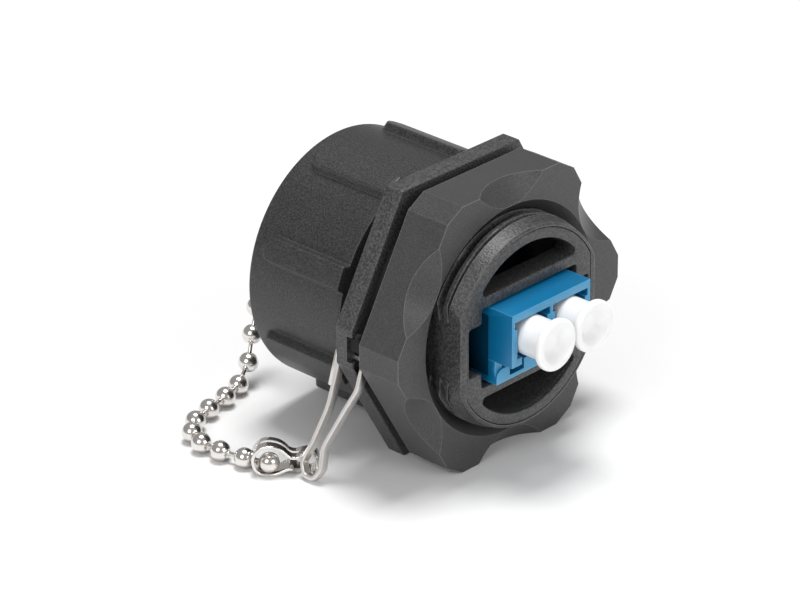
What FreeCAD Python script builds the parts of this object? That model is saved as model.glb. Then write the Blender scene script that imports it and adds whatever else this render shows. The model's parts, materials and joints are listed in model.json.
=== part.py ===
import FreeCAD, Part
import math
import os

import Sketcher
from FreeCAD import Placement, Rotation, Vector

# Waterproof duplex LC bulkhead adapter, millimetres.
# X is the device axis: +X leaves the panel on the nut side, -X goes into the screw cap.
# Z is up. The origin is on the device axis, in the flange face that the panel gasket seats on.

SIZES = [
    # hex flange
    ("hex_width", 33.0, "across flats, flange and nut"),
    ("flange_thick", 2.5, ""),
    ("flange_corner", 17.73, "axis to the one corner that is cut flat"),
    ("key_notch_depth", 0.85, "gasket ear's notch in the seat face, along X"),
    ("key_notch_tall", 3.2, ""),
    ("key_notch_reach", 1.6, "how far the notch runs in from the cut corner"),
    ("link_hole_bore", 2.1, "hole that the ring link hangs in"),
    ("link_hole_inset", 1.45, "hole axis to the cut corner"),
    ("link_hole_drop", 2.2, "hole axis below the device axis"),
    # barrels
    ("thread_crest", 12.5, "crest radius of both barrel threads"),
    ("front_reach", 10.3, "flange seat to the front barrel's end face"),
    ("front_flats", 11.1, "device axis to the two flats of the front barrel"),
    ("rear_reach", 13.6, "flange back to the rear barrel's rim"),
    ("barrel_bore", 10.3, "radius of the bore"),
    ("rim_bevel", 0.5, ""),
    ("web_thick", 3.0, "front web with the openings"),
    ("bar_out", 6.2, "web bars, outer edge from the axis plane"),
    ("ear_way_half", 9.85, "web cut-out for the adapter's ears, half width"),
    ("ear_way_tall", 6.0, ""),
    ("body_way_half", 7.8, "web cut-out for the adapter's body, half width"),
    ("body_way_tall", 9.8, ""),
    ("bulkhead_thick", 2.0, "inner wall that the adapter snaps into"),
    # gasket and nut
    ("gasket_thick", 1.55, ""),
    ("gasket_radius", 15.3, ""),
    ("ear_play", 0.15, "gasket ear in its notch, along X"),
    ("ear_inset", 0.35, "gasket ear's end and top in from the notch's edges"),
    ("ear_over_hole", 0.75, "link hole's edge to the gasket ear"),
    ("link_relief", 0.15, "gasket's clearance round the ring link"),
    ("seat_gap", 0.05, "gap between faces that meet but can part"),
    ("screw_fit", 0.06, "radial clearance in the threads"),
    ("nut_thick", 5.9, ""),
    ("nut_corner", 18.24, "axis to the nut's bevelled corners"),
    ("mouth_flare", 1.35, "countersink of the nut's front mouth"),
    ("scallop_radius", 9.0, "cutter radius of the finger scallops"),
    ("scallop_bite", 1.65, ""),
    ("scallop_tilt", 51.0, "degrees from the nut's radius"),
    # adapter
    ("adapter_wide", 12.9, ""),
    ("adapter_tall", 9.3, ""),
    ("adapter_nose", 13.57, "flange seat to the adapter's front face"),
    ("port_pitch", 6.25, "between the two ports"),
    ("ear_half", 9.65, "half width over the adapter's ears"),
    ("ear_tall", 5.8, ""),
    ("ear_thick", 1.6, ""),
    ("port_half", 2.48, ""),
    ("port_top", 3.7, ""),
    ("port_floor", 0.9, "below the device axis"),
    ("port_deep", 10.5, ""),
    ("ferrule_line", 1.18, "port axis above the device axis"),
    ("crown_half", 2.9, "wider relief along the port's top"),
    ("crown_tall", 0.9, ""),
    ("crown_deep", 2.0, ""),
    ("foot_half", 1.7, "channel under the port"),
    ("foot_floor", 2.0, ""),
    ("latch_half", 1.165, "latch slot"),
    ("latch_floor", 4.15, ""),
    ("lip_back", 2.27, "set-back of the lower front"),
    ("lip_top", 1.8, "below the device axis"),
    ("lug_top", 2.9, "below the device axis"),
    ("lug_back", 1.6, "depth of the gap over the lugs"),
    ("sleeve_outer", 0.8, "ceramic sleeve radius"),
    ("sleeve_bore", 0.6245, ""),
    ("sleeve_long", 6.8, ""),
    ("sleeve_slit", 0.3, ""),
    ("sleeve_play", 0.04, ""),
    ("holder_outer", 1.35, "radius of the tube that holds the sleeve"),
    ("holder_reach", 4.6, "tube end from the ears' back face"),
    ("holder_lip", 0.68, "radius of the tube's mouth"),
    ("clip_thick", 0.3, ""),
    ("clip_long", 3.4, ""),
    ("clip_flare", 1.0, "spring tab's lift from the adapter's side"),
    # dust plugs
    ("stem_radius", 2.35, ""),
    ("stem_bore", 1.6, ""),
    ("stem_long", 10.6, ""),
    ("stem_bore_deep", 7.4, ""),
    ("head_radius", 3.07, ""),
    ("head_thick", 0.9, ""),
    ("head_front", 17.4, "flange seat to the plug head's front"),
    ("dimple_mouth", 2.3, ""),
    ("dimple_floor", 1.1, ""),
    ("dimple_deep", 1.2, ""),
    # screw cap
    ("cap_radius", 15.0, ""),
    ("cap_edge", 0.4, ""),
    ("cap_gap", 2.1, "flange back to the cap's rim"),
    ("cap_end_wall", 2.0, ""),
    ("cap_seal_thick", 1.0, ""),
    ("rib_crest", 16.0, "radius over the ribs"),
    ("rib_wide", 2.9, ""),
    ("rib_short", 2.1, "cap's end face to the ribs' tips"),
    ("rivet_shank", 1.0, "radius"),
    ("rivet_head", 1.9, "radius"),
    ("rivet_head_tall", 0.7, ""),
    ("rivet_deep", 1.4, ""),
    ("eyelet_thick", 0.5, ""),
    ("eyelet_radius", 2.3, ""),
    # chain
    ("bead_radius", 1.2, ""),
    ("bead_wall", 0.2, ""),
    ("bead_hole", 0.33, "radius"),
    ("rod_radius", 0.25, ""),
    ("knob_radius", 0.42, ""),
    ("link_wide", 1.1, "ring link's strip"),
    ("link_thick", 0.5, ""),
    ("link_play", 0.2, "link's back leg to the flange"),
    ("link_lap", 4.2, "length of the strip's lapped end"),
    ("link_foot_gap", 0.2566, "link's foot to the surface"),
    ("clasp_wide", 2.4, ""),
    ("clasp_thick", 0.35, ""),
    ("clasp_slot_play", 0.35, "clasp's slot, each side of the link"),
    ("band_play", 0.02, "end ball over the clasp's band"),
]

RIBS = 8
SCALLOPS = 6
RIB_START = 22.5
BALL_SIDES = 12
BALL_BANDS = 6
ROD_SIDES = 8
LINK_LEAN = 18.4
LINK_EYE_BACK = -5.15

# Link's foot to the clasp's centre, and from there to the end ball, both in plan.
CLASP_REACH = (-3.29, -1.648)
END_BALL = (0.39, -0.40)

# Bead centres: on the surface from the clasp round behind the cap, then up to the eyelet.
FLOOR_BEADS = [
    (-11.32, -23.70),
    (-14.48, -24.40),
    (-17.42, -24.55),
    (-20.01, -23.55),
    (-21.72, -21.36),
    (-22.69, -18.27),
    (-23.42, -14.92),
    (-24.45, -11.80),
]
HANGING_BEADS = [
    (-25.20, -9.40, -13.50),
    (-25.90, -8.00, -10.60),
    (-26.30, -6.80, -7.60),
    (-25.95, -5.40, -4.80),
    (-24.90, -3.90, -2.20),
    (-23.60, -2.90, 0.50),
]

doc = FreeCAD.newDocument("bulkhead_adapter")
sheet = doc.addObject("Spreadsheet::Sheet", "Sizes")
for row, (alias, value, note) in enumerate(SIZES, start=1):
    sheet.set("A%d" % row, str(value))
    sheet.setAlias("A%d" % row, alias)
    sheet.set("B%d" % row, note)
doc.recompute()

NODES = []


def size(alias):
    return float(getattr(sheet, alias))


def number(expression):
    """Value of an expression written in the sheet's aliases."""
    value = sheet.evalExpression(expression)
    return float(getattr(value, "Value", value))


def bind(thing, bindings):
    for prop, expression in bindings.items():
        thing.setExpression(prop, expression)
    return thing


def node(thing, name):
    thing.Label = name
    NODES.append(thing)
    return thing


# ---------------------------------------------------------------- primitives along X

ALONG_X = Rotation(Vector(0, 1, 0), 90)


def cylinder(name, radius, start, length, centre_y="0", centre_z="0"):
    """Round bar along X, every size an expression."""
    bar = doc.addObject("Part::Cylinder", name)
    bar.Placement = Placement(Vector(), ALONG_X)
    return bind(bar, {
        "Radius": radius,
        "Height": length,
        "Placement.Base.x": start,
        "Placement.Base.y": centre_y,
        "Placement.Base.z": centre_z,
    })


def hexagon(name, width, start, length, turn=0):
    """Hexagonal bar along X; flats lie at the top and bottom when turn is 0."""
    bar = doc.addObject("Part::Prism", name)
    bar.Polygon = 6
    bar.Placement = Placement(Vector(), ALONG_X * Rotation(Vector(0, 0, 1), 30 + turn))
    return bind(bar, {
        "Circumradius": "(%s) / sqrt(3)" % width,
        "Height": length,
        "Placement.Base.x": start,
    })


def box(name, x_span, y_span, z_span):
    """Block between two expressions on each axis."""
    block = doc.addObject("Part::Box", name)
    bindings = {}
    for prop, letter, (low, high) in zip(("Length", "Width", "Height"), "xyz", (x_span, y_span, z_span)):
        bindings[prop] = "(%s) - (%s)" % (high, low)
        bindings["Placement.Base." + letter] = low
    return bind(block, bindings)


def fuse(name, pieces):
    union = doc.addObject("Part::MultiFuse", name)
    union.Shapes = pieces
    return union


def cut(name, base, tool):
    result = doc.addObject("Part::Cut", name)
    result.Base = base
    result.Tool = tool
    return result


def common(name, pieces):
    result = doc.addObject("Part::MultiCommon", name)
    result.Shapes = pieces
    return result


# ---------------------------------------------------------------- PartDesign helpers

def plane(body, role):
    return next(item for item in body.Origin.OriginFeatures if item.Role == role)


def pin(sketch, edge, axis, expression):
    """Fix the start of an edge on one sketch axis."""
    value = number(expression)
    if abs(value) < 1e-9:
        sketch.addConstraint(Sketcher.Constraint("PointOnObject", edge, 1, -2 if axis == "X" else -1))
        return
    index = sketch.addConstraint(Sketcher.Constraint("Distance" + axis, -1, 1, edge, 1, value))
    sketch.renameConstraint(index, "edge%d%s" % (edge, axis))
    sketch.setExpression("Constraints.edge%d%s" % (edge, axis), expression)


def outline(sketch, corners):
    """Closed polygon whose corners are pairs of expressions."""
    points = [Vector(number(u), number(v), 0) for u, v in corners]
    for start, end in zip(points, points[1:] + points[:1]):
        sketch.addGeometry(Part.LineSegment(start, end), False)
    for edge in range(len(points)):
        sketch.addConstraint(Sketcher.Constraint("Coincident", edge, 2, (edge + 1) % len(points), 1))
    for edge, (u, v) in enumerate(corners):
        pin(sketch, edge, "X", u)
        pin(sketch, edge, "Y", v)


def turned_body(name, corners):
    """PartDesign body turned about X from a profile of (x, radius) expressions."""
    body = doc.addObject("PartDesign::Body", name)
    sketch = body.newObject("Sketcher::SketchObject", name + "_profile")
    sketch.AttachmentSupport = [(plane(body, "XZ_Plane"), "")]
    sketch.MapMode = "FlatFace"
    doc.recompute()
    outline(sketch, corners)
    turn = body.newObject("PartDesign::Revolution", name + "_turned")
    turn.Profile = sketch
    turn.ReferenceAxis = (sketch, ["H_Axis"])
    turn.Angle = 360
    doc.recompute()
    return body


def feature(name, shape):
    thing = doc.addObject("Part::Feature", name)
    thing.Shape = shape
    return thing


# ---------------------------------------------------------------- socket body

REAR_RIM = "-Sizes.flange_thick - Sizes.rear_reach"
WEB_BACK = "Sizes.front_reach - Sizes.web_thick"
BULKHEAD_FRONT = "-0.2 * Sizes.flange_thick"
BULKHEAD_BACK = BULKHEAD_FRONT + " - Sizes.bulkhead_thick"


def flange():
    plate = hexagon("flange_plate", "Sizes.hex_width", "-Sizes.flange_thick", "Sizes.flange_thick")
    trimmed = box("flange_keep", ("-Sizes.flange_thick", "0"), ("-Sizes.flange_corner", "Sizes.hex_width"),
                  ("-Sizes.hex_width", "Sizes.hex_width"))
    notch = box("key_notch", ("-Sizes.key_notch_depth", "Sizes.seat_gap"),
                ("-Sizes.flange_corner - 1", "-Sizes.flange_corner + Sizes.key_notch_reach"),
                ("-0.5 * Sizes.key_notch_tall - 0.1", "0.5 * Sizes.key_notch_tall - 0.1"))
    hole = cylinder("link_hole", "0.5 * Sizes.link_hole_bore", "-Sizes.flange_thick - 1",
                    "Sizes.flange_thick + 2", "-Sizes.flange_corner + Sizes.link_hole_inset",
                    "-Sizes.link_hole_drop")
    blank = common("flange_blank", [plate, trimmed])
    return cut("flange", blank, fuse("flange_cuts", [notch, hole]))


def half_moon(name, side):
    """Segment of the bore beyond the web's bars; side is +1 above and -1 below."""
    disc = cylinder(name + "_disc", "Sizes.barrel_bore", WEB_BACK + " - 1", "Sizes.web_thick + 2")
    low, high = "Sizes.bar_out", "Sizes.hex_width"
    span = (low, high) if side > 0 else ("-" + high, "-" + low)
    half = box(name + "_half", (WEB_BACK + " - 1", "Sizes.front_reach + 1"),
               ("-Sizes.hex_width", "Sizes.hex_width"), span)
    return common(name, [disc, half])


def web_window(name, half, tall):
    return box(name, (WEB_BACK + " - 1", "Sizes.front_reach + 1"), ("-" + half, half),
               ("-0.5 * " + tall, "0.5 * " + tall))


def socket_body():
    front = turned_body("front_barrel", [
        (BULKHEAD_FRONT, "0"),
        ("Sizes.front_reach", "0"),
        ("Sizes.front_reach", "Sizes.thread_crest - Sizes.rim_bevel"),
        ("Sizes.front_reach - Sizes.rim_bevel", "Sizes.thread_crest"),
        (BULKHEAD_FRONT, "Sizes.thread_crest"),
    ])
    flats = box("front_flats", (BULKHEAD_FRONT, "Sizes.front_reach"), ("-Sizes.front_flats", "Sizes.front_flats"),
                ("-Sizes.hex_width", "Sizes.hex_width"))
    rear = turned_body("rear_barrel", [
        (REAR_RIM, "0"),
        (BULKHEAD_FRONT, "0"),
        (BULKHEAD_FRONT, "Sizes.thread_crest"),
        (REAR_RIM + " + Sizes.rim_bevel", "Sizes.thread_crest"),
        (REAR_RIM, "Sizes.thread_crest - Sizes.rim_bevel"),
    ])
    solid = fuse("socket_blank", [flange(), common("front_barrel_flatted", [front, flats]), rear])
    hollow = [
        cylinder("front_bore", "Sizes.barrel_bore", BULKHEAD_FRONT, WEB_BACK + " - (" + BULKHEAD_FRONT + ")"),
        cylinder("rear_bore", "Sizes.barrel_bore", REAR_RIM + " - 1",
                 BULKHEAD_BACK + " - (" + REAR_RIM + ") + 1"),
        box("bulkhead_window", (BULKHEAD_BACK + " - 1", BULKHEAD_FRONT + " + 1"),
            ("-0.5 * Sizes.adapter_wide - 0.2", "0.5 * Sizes.adapter_wide + 0.2"),
            ("-0.5 * Sizes.adapter_tall - 0.15", "0.5 * Sizes.adapter_tall + 0.15")),
        web_window("ear_way", "Sizes.ear_way_half", "Sizes.ear_way_tall"),
        web_window("body_way", "Sizes.body_way_half", "Sizes.body_way_tall"),
        half_moon("upper_moon", 1),
        half_moon("lower_moon", -1),
    ]
    node(cut("socket_body", solid, fuse("socket_hollow", hollow)), "socket_body")


# ---------------------------------------------------------------- gasket and nut

def panel_gasket():
    ring = turned_body("gasket_ring", [
        ("0", "Sizes.thread_crest + Sizes.screw_fit"),
        ("Sizes.gasket_thick", "Sizes.thread_crest + Sizes.screw_fit"),
        ("Sizes.gasket_thick", "Sizes.gasket_radius"),
        ("0", "Sizes.gasket_radius"),
    ])
    low = "-Sizes.link_hole_drop + 0.5 * Sizes.link_hole_bore + Sizes.ear_over_hole"
    high = "0.5 * Sizes.key_notch_tall - Sizes.ear_inset"
    outer = "-Sizes.flange_corner + Sizes.ear_inset"
    ear = box("gasket_ear", ("-Sizes.key_notch_depth + Sizes.ear_play", "Sizes.gasket_thick"),
              (outer, "-Sizes.flange_corner + Sizes.key_notch_reach - 2 * Sizes.seat_gap"), (low, high))
    bridge = box("gasket_bridge", ("0", "Sizes.gasket_thick"), (outer, "-0.97 * Sizes.gasket_radius"), (low, high))
    blank = fuse("gasket_blank", [ring, ear, bridge])
    node(cut("panel_gasket", blank, feature("gasket_link_relief", link_relief())), "panel_gasket")


def link_relief():
    """Slot through the gasket where the ring link comes up; it only bites when the gasket reaches that far out."""
    play = size("link_relief")
    half = 0.5 * size("link_wide") + play
    top = link_top() - 0.5 * size("link_thick") - play
    slot = Part.makeBox(size("hex_width"), size("hex_width"), 2 * half, Vector(-0.5 * size("hex_width"), top, -half))
    slot.transformShape(link_place())
    return slot


NUT_BACK = "Sizes.gasket_thick + Sizes.seat_gap"
NUT_FRONT = NUT_BACK + " + Sizes.nut_thick"


def scallop_cutter(index):
    """Tilted bar that takes a finger scallop out of one front edge of the nut."""
    radius = size("scallop_radius")
    tilt = math.radians(size("scallop_tilt"))
    inward = Vector(-math.sin(tilt), 0, -math.cos(tilt))
    along = Vector(math.cos(tilt), 0, -math.sin(tilt))
    edge = Vector(number(NUT_FRONT), 0, 0.5 * size("hex_width"))
    centre = edge - inward * (radius - size("scallop_bite"))
    reach = size("hex_width")
    bar = Part.makeCylinder(radius, 2 * reach, centre - along * reach, along)
    bar.rotate(Vector(), Vector(1, 0, 0), 360.0 / SCALLOPS * index)
    return bar


def lock_nut():
    turned = turned_body("nut_blank", [
        (NUT_BACK, "Sizes.thread_crest + Sizes.screw_fit"),
        (NUT_FRONT + " - Sizes.mouth_flare", "Sizes.thread_crest + Sizes.screw_fit"),
        (NUT_FRONT, "Sizes.thread_crest + Sizes.screw_fit + Sizes.mouth_flare"),
        (NUT_FRONT, "Sizes.hex_width"),
        (NUT_BACK, "Sizes.hex_width"),
    ])
    flats = hexagon("nut_flats", "Sizes.hex_width", NUT_BACK, "Sizes.nut_thick")
    corners = hexagon("nut_corners", "2 * Sizes.nut_corner", NUT_BACK, "Sizes.nut_thick", 30)
    blank = common("nut_outline", [turned, flats, corners])
    cutters = [feature("scallop_cutter_%d" % index, scallop_cutter(index)) for index in range(SCALLOPS)]
    node(cut("lock_nut", blank, fuse("nut_scallops", cutters)), "lock_nut")


# ---------------------------------------------------------------- duplex adapter

SPLIT = BULKHEAD_FRONT


def port_cuts(name, side):
    """Everything that one port takes out of an adapter half."""
    line = "%d * 0.5 * Sizes.port_pitch" % side
    nose = "Sizes.adapter_nose"
    inner = nose + " - Sizes.port_deep"

    def across(half):
        return ("%s - %s" % (line, half), "%s + %s" % (line, half))

    chamber = box(name + "_chamber", (inner, nose + " + 1"), across("Sizes.port_half"),
                  ("-Sizes.port_floor", "Sizes.port_top"))
    crown = box(name + "_crown", (nose + " - Sizes.crown_deep", nose + " + 1"), across("Sizes.crown_half"),
                ("Sizes.port_top - Sizes.crown_tall", "Sizes.port_top"))
    foot = box(name + "_foot", (inner, nose + " + 1"), across("Sizes.foot_half"),
               ("-Sizes.foot_floor", "0"))
    latch = box(name + "_latch", (inner, nose + " + 1"), across("Sizes.latch_half"),
                ("-Sizes.latch_floor", "0"))
    keep = cylinder(name + "_tube", "Sizes.holder_outer", inner + " - 1",
                    "Sizes.holder_reach + %s + 1 - (%s)" % (SPLIT, inner), line, "Sizes.ferrule_line")
    space = cut(name + "_space", fuse(name + "_open", [chamber, crown, foot, latch]), keep)
    sleeve_room = cylinder(name + "_sleeve_room", "Sizes.sleeve_outer + Sizes.sleeve_play", SPLIT + " - 1",
                           "0.5 * Sizes.sleeve_long + 1.05", line, "Sizes.ferrule_line")
    mouth = cylinder(name + "_mouth", "Sizes.holder_lip", SPLIT, "Sizes.port_deep", line, "Sizes.ferrule_line")
    return [space, sleeve_room, mouth]


def adapter_half(name, with_ears):
    """Front half as built; the rear half is the same moulding turned end for end."""
    nose = "Sizes.adapter_nose"
    block = box(name + "_block", (SPLIT, nose), ("-0.5 * Sizes.adapter_wide", "0.5 * Sizes.adapter_wide"),
                ("-0.5 * Sizes.adapter_tall", "0.5 * Sizes.adapter_tall"))
    if with_ears:
        ears = box(name + "_ears", (SPLIT, SPLIT + " + Sizes.ear_thick"), ("-Sizes.ear_half", "Sizes.ear_half"),
                   ("-0.5 * Sizes.ear_tall", "0.5 * Sizes.ear_tall"))
        block = fuse(name + "_flanged", [block, ears])
    lip = box(name + "_lip", (nose + " - Sizes.lip_back", nose + " + 1"), ("-Sizes.hex_width", "Sizes.hex_width"),
              ("-Sizes.hex_width", "-Sizes.lip_top"))
    lug_gap = box(name + "_lug_gap", (nose + " - Sizes.lip_back - Sizes.lug_back", nose),
                  ("-Sizes.hex_width", "Sizes.hex_width"), ("-Sizes.lug_top", "-Sizes.lip_top"))
    openings = [lip, lug_gap]
    for label, side in (("left", -1), ("right", 1)):
        openings += port_cuts("%s_%s" % (name, label), side)
    return cut(name, block, fuse(name + "_cuts", openings))


def adapter():
    node(adapter_half("adapter_front", True), "adapter_front")
    rear = adapter_half("adapter_rear_form", False)
    turned = doc.addObject("Part::Compound", "adapter_rear")
    turned.Links = [rear]
    turned.Placement = Placement(Vector(2 * number(SPLIT), 0, 0), Rotation(Vector(0, 0, 1), 180))
    node(turned, "adapter_rear")
    for label, side in (("left", -1), ("right", 1)):
        line = "%d * 0.5 * Sizes.port_pitch" % side
        start = SPLIT + " - 0.5 * Sizes.sleeve_long"
        outer = cylinder("sleeve_%s_outer" % label, "Sizes.sleeve_outer", start, "Sizes.sleeve_long", line,
                         "Sizes.ferrule_line")
        inner = cylinder("sleeve_%s_inner" % label, "Sizes.sleeve_bore", start + " - 1", "Sizes.sleeve_long + 2",
                         line, "Sizes.ferrule_line")
        slit = box("sleeve_%s_slit" % label, (start + " - 1", SPLIT + " + 0.5 * Sizes.sleeve_long + 1"),
                   ("%s - 0.5 * Sizes.sleeve_slit" % line, "%s + 0.5 * Sizes.sleeve_slit" % line),
                   ("Sizes.ferrule_line", "Sizes.ferrule_line + 2"))
        node(cut("sleeve_" + label, outer, fuse("sleeve_%s_cuts" % label, [inner, slit])), "sleeve_" + label)


def adapter_clip():
    """Spring clip round the adapter's body; its side tabs hold it behind the bulkhead."""
    gap, thick = size("seat_gap"), size("clip_thick")
    half_wide = 0.5 * size("adapter_wide") + gap
    half_tall = 0.5 * size("adapter_tall")
    front = number(BULKHEAD_BACK) - gap
    back = front - size("clip_long")
    outer = Part.makeBox(front - back, 2 * (half_wide + thick), half_tall * 2 + gap + thick,
                         Vector(back, -half_wide - thick, -half_tall))
    inner = Part.makeBox(front - back + 2, 2 * half_wide, half_tall * 2 + gap,
                         Vector(back - 1, -half_wide, -half_tall))
    band = outer.cut(inner)
    lift = size("clip_flare")
    tab_tall = 0.5 * size("ear_tall")
    for side in (-1, 1):
        foot = half_wide + 0.5 * thick
        profile = [
            Vector(back, side * foot, -0.5 * tab_tall),
            Vector(back + thick, side * (foot + thick), -0.5 * tab_tall),
            Vector(front, side * (foot + thick + lift), -0.5 * tab_tall),
            Vector(front, side * (foot + lift), -0.5 * tab_tall),
        ]
        face = Part.Face(Part.makePolygon(profile + profile[:1]))
        band = band.fuse(face.extrude(Vector(0, 0, tab_tall)))
    node(feature("adapter_clip", band.removeSplitter()), "adapter_clip")


def dust_plug(name, side):
    inner = "Sizes.head_front - Sizes.head_thick - Sizes.stem_long"
    back = "Sizes.head_front - Sizes.head_thick"
    round_off = "0.25"
    body = turned_body(name, [
        (inner, "Sizes.stem_bore"),
        (inner, "Sizes.stem_radius - " + round_off),
        (inner + " + " + round_off, "Sizes.stem_radius"),
        (back, "Sizes.stem_radius"),
        (back, "Sizes.head_radius - " + round_off),
        (back + " + " + round_off, "Sizes.head_radius"),
        ("Sizes.head_front - " + round_off, "Sizes.head_radius"),
        ("Sizes.head_front", "Sizes.head_radius - " + round_off),
        ("Sizes.head_front", "Sizes.dimple_mouth"),
        ("Sizes.head_front - Sizes.dimple_deep", "Sizes.dimple_floor"),
        ("Sizes.head_front - Sizes.dimple_deep", "0"),
        (inner + " + Sizes.stem_bore_deep", "0"),
        (inner + " + Sizes.stem_bore_deep", "Sizes.stem_bore"),
    ])
    body.Placement = Placement(Vector(0, side * 0.5 * size("port_pitch"), size("ferrule_line")), Rotation())
    node(body, name)


# ---------------------------------------------------------------- screw cap

CAP_RIM = "-Sizes.flange_thick - Sizes.cap_gap"
SEAL_FRONT = REAR_RIM + " - Sizes.seat_gap"
CAP_FLOOR = SEAL_FRONT + " - Sizes.cap_seal_thick"
CAP_END = CAP_FLOOR + " - Sizes.cap_end_wall"


def cap_rib(index):
    """Grip rib with a round tip, its crest turned to the ribs' radius."""
    half = 0.5 * size("rib_wide")
    tip = number(CAP_END) + size("rib_short")
    rim = number(CAP_RIM)
    foot = size("thread_crest") + size("screw_fit") + 1.0
    straight = Part.makeBox(rim - tip - half, 2 * half, size("rib_crest") - foot, Vector(tip + half, -half, foot))
    tip_round = Part.makeCylinder(half, size("rib_crest") - foot, Vector(tip + half, 0, foot), Vector(0, 0, 1))
    rib = straight.fuse(tip_round).removeSplitter()
    rib.rotate(Vector(), Vector(1, 0, 0), RIB_START + 360.0 / RIBS * index)
    return rib


def screw_cap():
    shell = turned_body("cap_shell", [
        (CAP_RIM, "Sizes.thread_crest + Sizes.screw_fit"),
        (CAP_RIM, "Sizes.cap_radius"),
        (CAP_END + " + Sizes.cap_edge", "Sizes.cap_radius"),
        (CAP_END, "Sizes.cap_radius - Sizes.cap_edge"),
        (CAP_END, "Sizes.rivet_shank"),
        (CAP_END + " + Sizes.rivet_deep", "Sizes.rivet_shank"),
        (CAP_END + " + Sizes.rivet_deep", "0"),
        (CAP_FLOOR, "0"),
        (CAP_FLOOR, "Sizes.thread_crest + Sizes.screw_fit"),
    ])
    ribs = [feature("cap_rib_%d" % index, cap_rib(index)) for index in range(RIBS)]
    crest = cylinder("rib_crests", "Sizes.rib_crest", CAP_END, CAP_RIM + " - (" + CAP_END + ")")
    kept = common("cap_ribs", [fuse("rib_bars", ribs), crest])
    node(fuse("screw_cap", [shell, kept]), "screw_cap")
    node(turned_body("cap_seal", [
        (CAP_FLOOR, "Sizes.barrel_bore - 1"),
        (SEAL_FRONT, "Sizes.barrel_bore - 1"),
        (SEAL_FRONT, "Sizes.thread_crest - 0.1"),
        (CAP_FLOOR, "Sizes.thread_crest - 0.1"),
    ]), "cap_seal")


EYELET_FRONT = CAP_END + " - Sizes.seat_gap"
EYELET_BACK = EYELET_FRONT + " - Sizes.eyelet_thick"


def cap_rivet():
    head_front = EYELET_BACK + " - Sizes.seat_gap"
    head_back = head_front + " - Sizes.rivet_head_tall"
    node(turned_body("cap_rivet", [
        (CAP_END + " + Sizes.rivet_deep", "0"),
        (CAP_END + " + Sizes.rivet_deep", "Sizes.rivet_shank"),
        (head_front, "Sizes.rivet_shank"),
        (head_front, "Sizes.rivet_head"),
        (head_back + " + 0.4", "Sizes.rivet_head"),
        (head_back, "Sizes.rivet_head - 0.6"),
        (head_back, "0"),
    ]), "cap_rivet")


# ---------------------------------------------------------------- ball chain

FLOOR = -0.5 * size("hex_width")


def clasp_centre():
    foot = link_foot_point()
    return Vector(foot.x + CLASP_REACH[0], foot.y + CLASP_REACH[1], FLOOR + size("bead_radius"))


def floor_bead(index):
    """Centre of a ball on the surface; ball 0 sits in the clasp, on its band."""
    if index == 0:
        return clasp_centre() + Vector(*END_BALL, size("clasp_thick") + size("band_play"))
    return Vector(*FLOOR_BEADS[index - 1], FLOOR + size("bead_radius"))


def hanging_bead(index):
    return Vector(*HANGING_BEADS[index])


def toward(start, end):
    step = end.sub(start)
    step.normalize()
    return step


def across(way):
    """Two directions square to way, the first one level."""
    level = Vector(-way.y, way.x, 0)
    if level.Length < 0.1:
        level = Vector(1, 0, 0)
    level.normalize()
    return level, way.cross(level)


def facet_turn(centre, way, profile, sides):
    """Turned form in flat facets, from (distance, radius) pairs that start and end on the axis."""
    level, upright = across(way)
    rings = []
    for distance, radius in profile:
        ring = []
        for index in range(sides):
            turn = 2 * math.pi * (index + 0.5) / sides
            ring.append(centre + way * distance + (level * math.cos(turn) + upright * math.sin(turn)) * radius)
        rings.append(ring)
    faces = []
    for (before, after), (low, high) in zip(zip(profile, profile[1:]), zip(rings, rings[1:])):
        for index in range(sides):
            after_index = (index + 1) % sides
            if before[1] == 0:
                corners = [low[0], high[index], high[after_index]]
            elif after[1] == 0:
                corners = [low[index], low[after_index], high[0]]
            else:
                corners = [low[index], low[after_index], high[after_index], high[index]]
            faces.append(Part.Face(Part.makePolygon(corners + corners[:1])))
    solid = Part.Solid(Part.Shell(faces))
    if solid.Volume < 0:
        solid.reverse()
    return solid


def facet_ball(centre, radius, way, sides, bands):
    profile = [(-radius, 0)]
    for band in range(1, bands):
        angle = math.pi * band / bands
        profile.append((-radius * math.cos(angle), radius * math.sin(angle)))
    profile.append((radius, 0))
    return facet_turn(centre, way, profile, sides)


def bead(centre, ways):
    """Hollow ball with one hole for each rod."""
    radius = size("bead_radius")
    inner = radius - size("bead_wall")
    upright = Vector(0, 0, 1)
    shell = facet_ball(centre, radius, upright, BALL_SIDES, BALL_BANDS)
    shell = shell.cut(facet_ball(centre, inner, upright, BALL_SIDES, BALL_BANDS))
    for way in ways:
        profile = [(0, 0), (0, size("bead_hole")), (2 * radius, size("bead_hole")), (2 * radius, 0)]
        shell = shell.cut(facet_turn(centre, way, profile, ROD_SIDES))
    return shell


def knob_inset():
    """Ball's surface to the centre of a knob that stays just clear of the inside of its wall."""
    return size("bead_wall") + size("knob_radius") + 0.1


def rod(start, end, knob_at_end=True):
    """Dumb-bell between two balls; both knobs sit just inside the walls."""
    way = toward(start, end)
    first = start + way * (size("bead_radius") - knob_inset())
    if knob_at_end:
        last = end - way * (size("bead_radius") - knob_inset())
    else:
        last = end - way * (size("bead_radius") + size("seat_gap"))
    length = (last - first).Length
    shank = [(0, 0), (0, size("rod_radius")), (length, size("rod_radius")), (length, 0)]
    bar = facet_turn(first, way, shank, ROD_SIDES)
    ends = (first, last) if knob_at_end else (first,)
    for knob in ends:
        bar = bar.fuse(facet_ball(knob, size("knob_radius"), way, ROD_SIDES, 4))
    return bar


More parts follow.
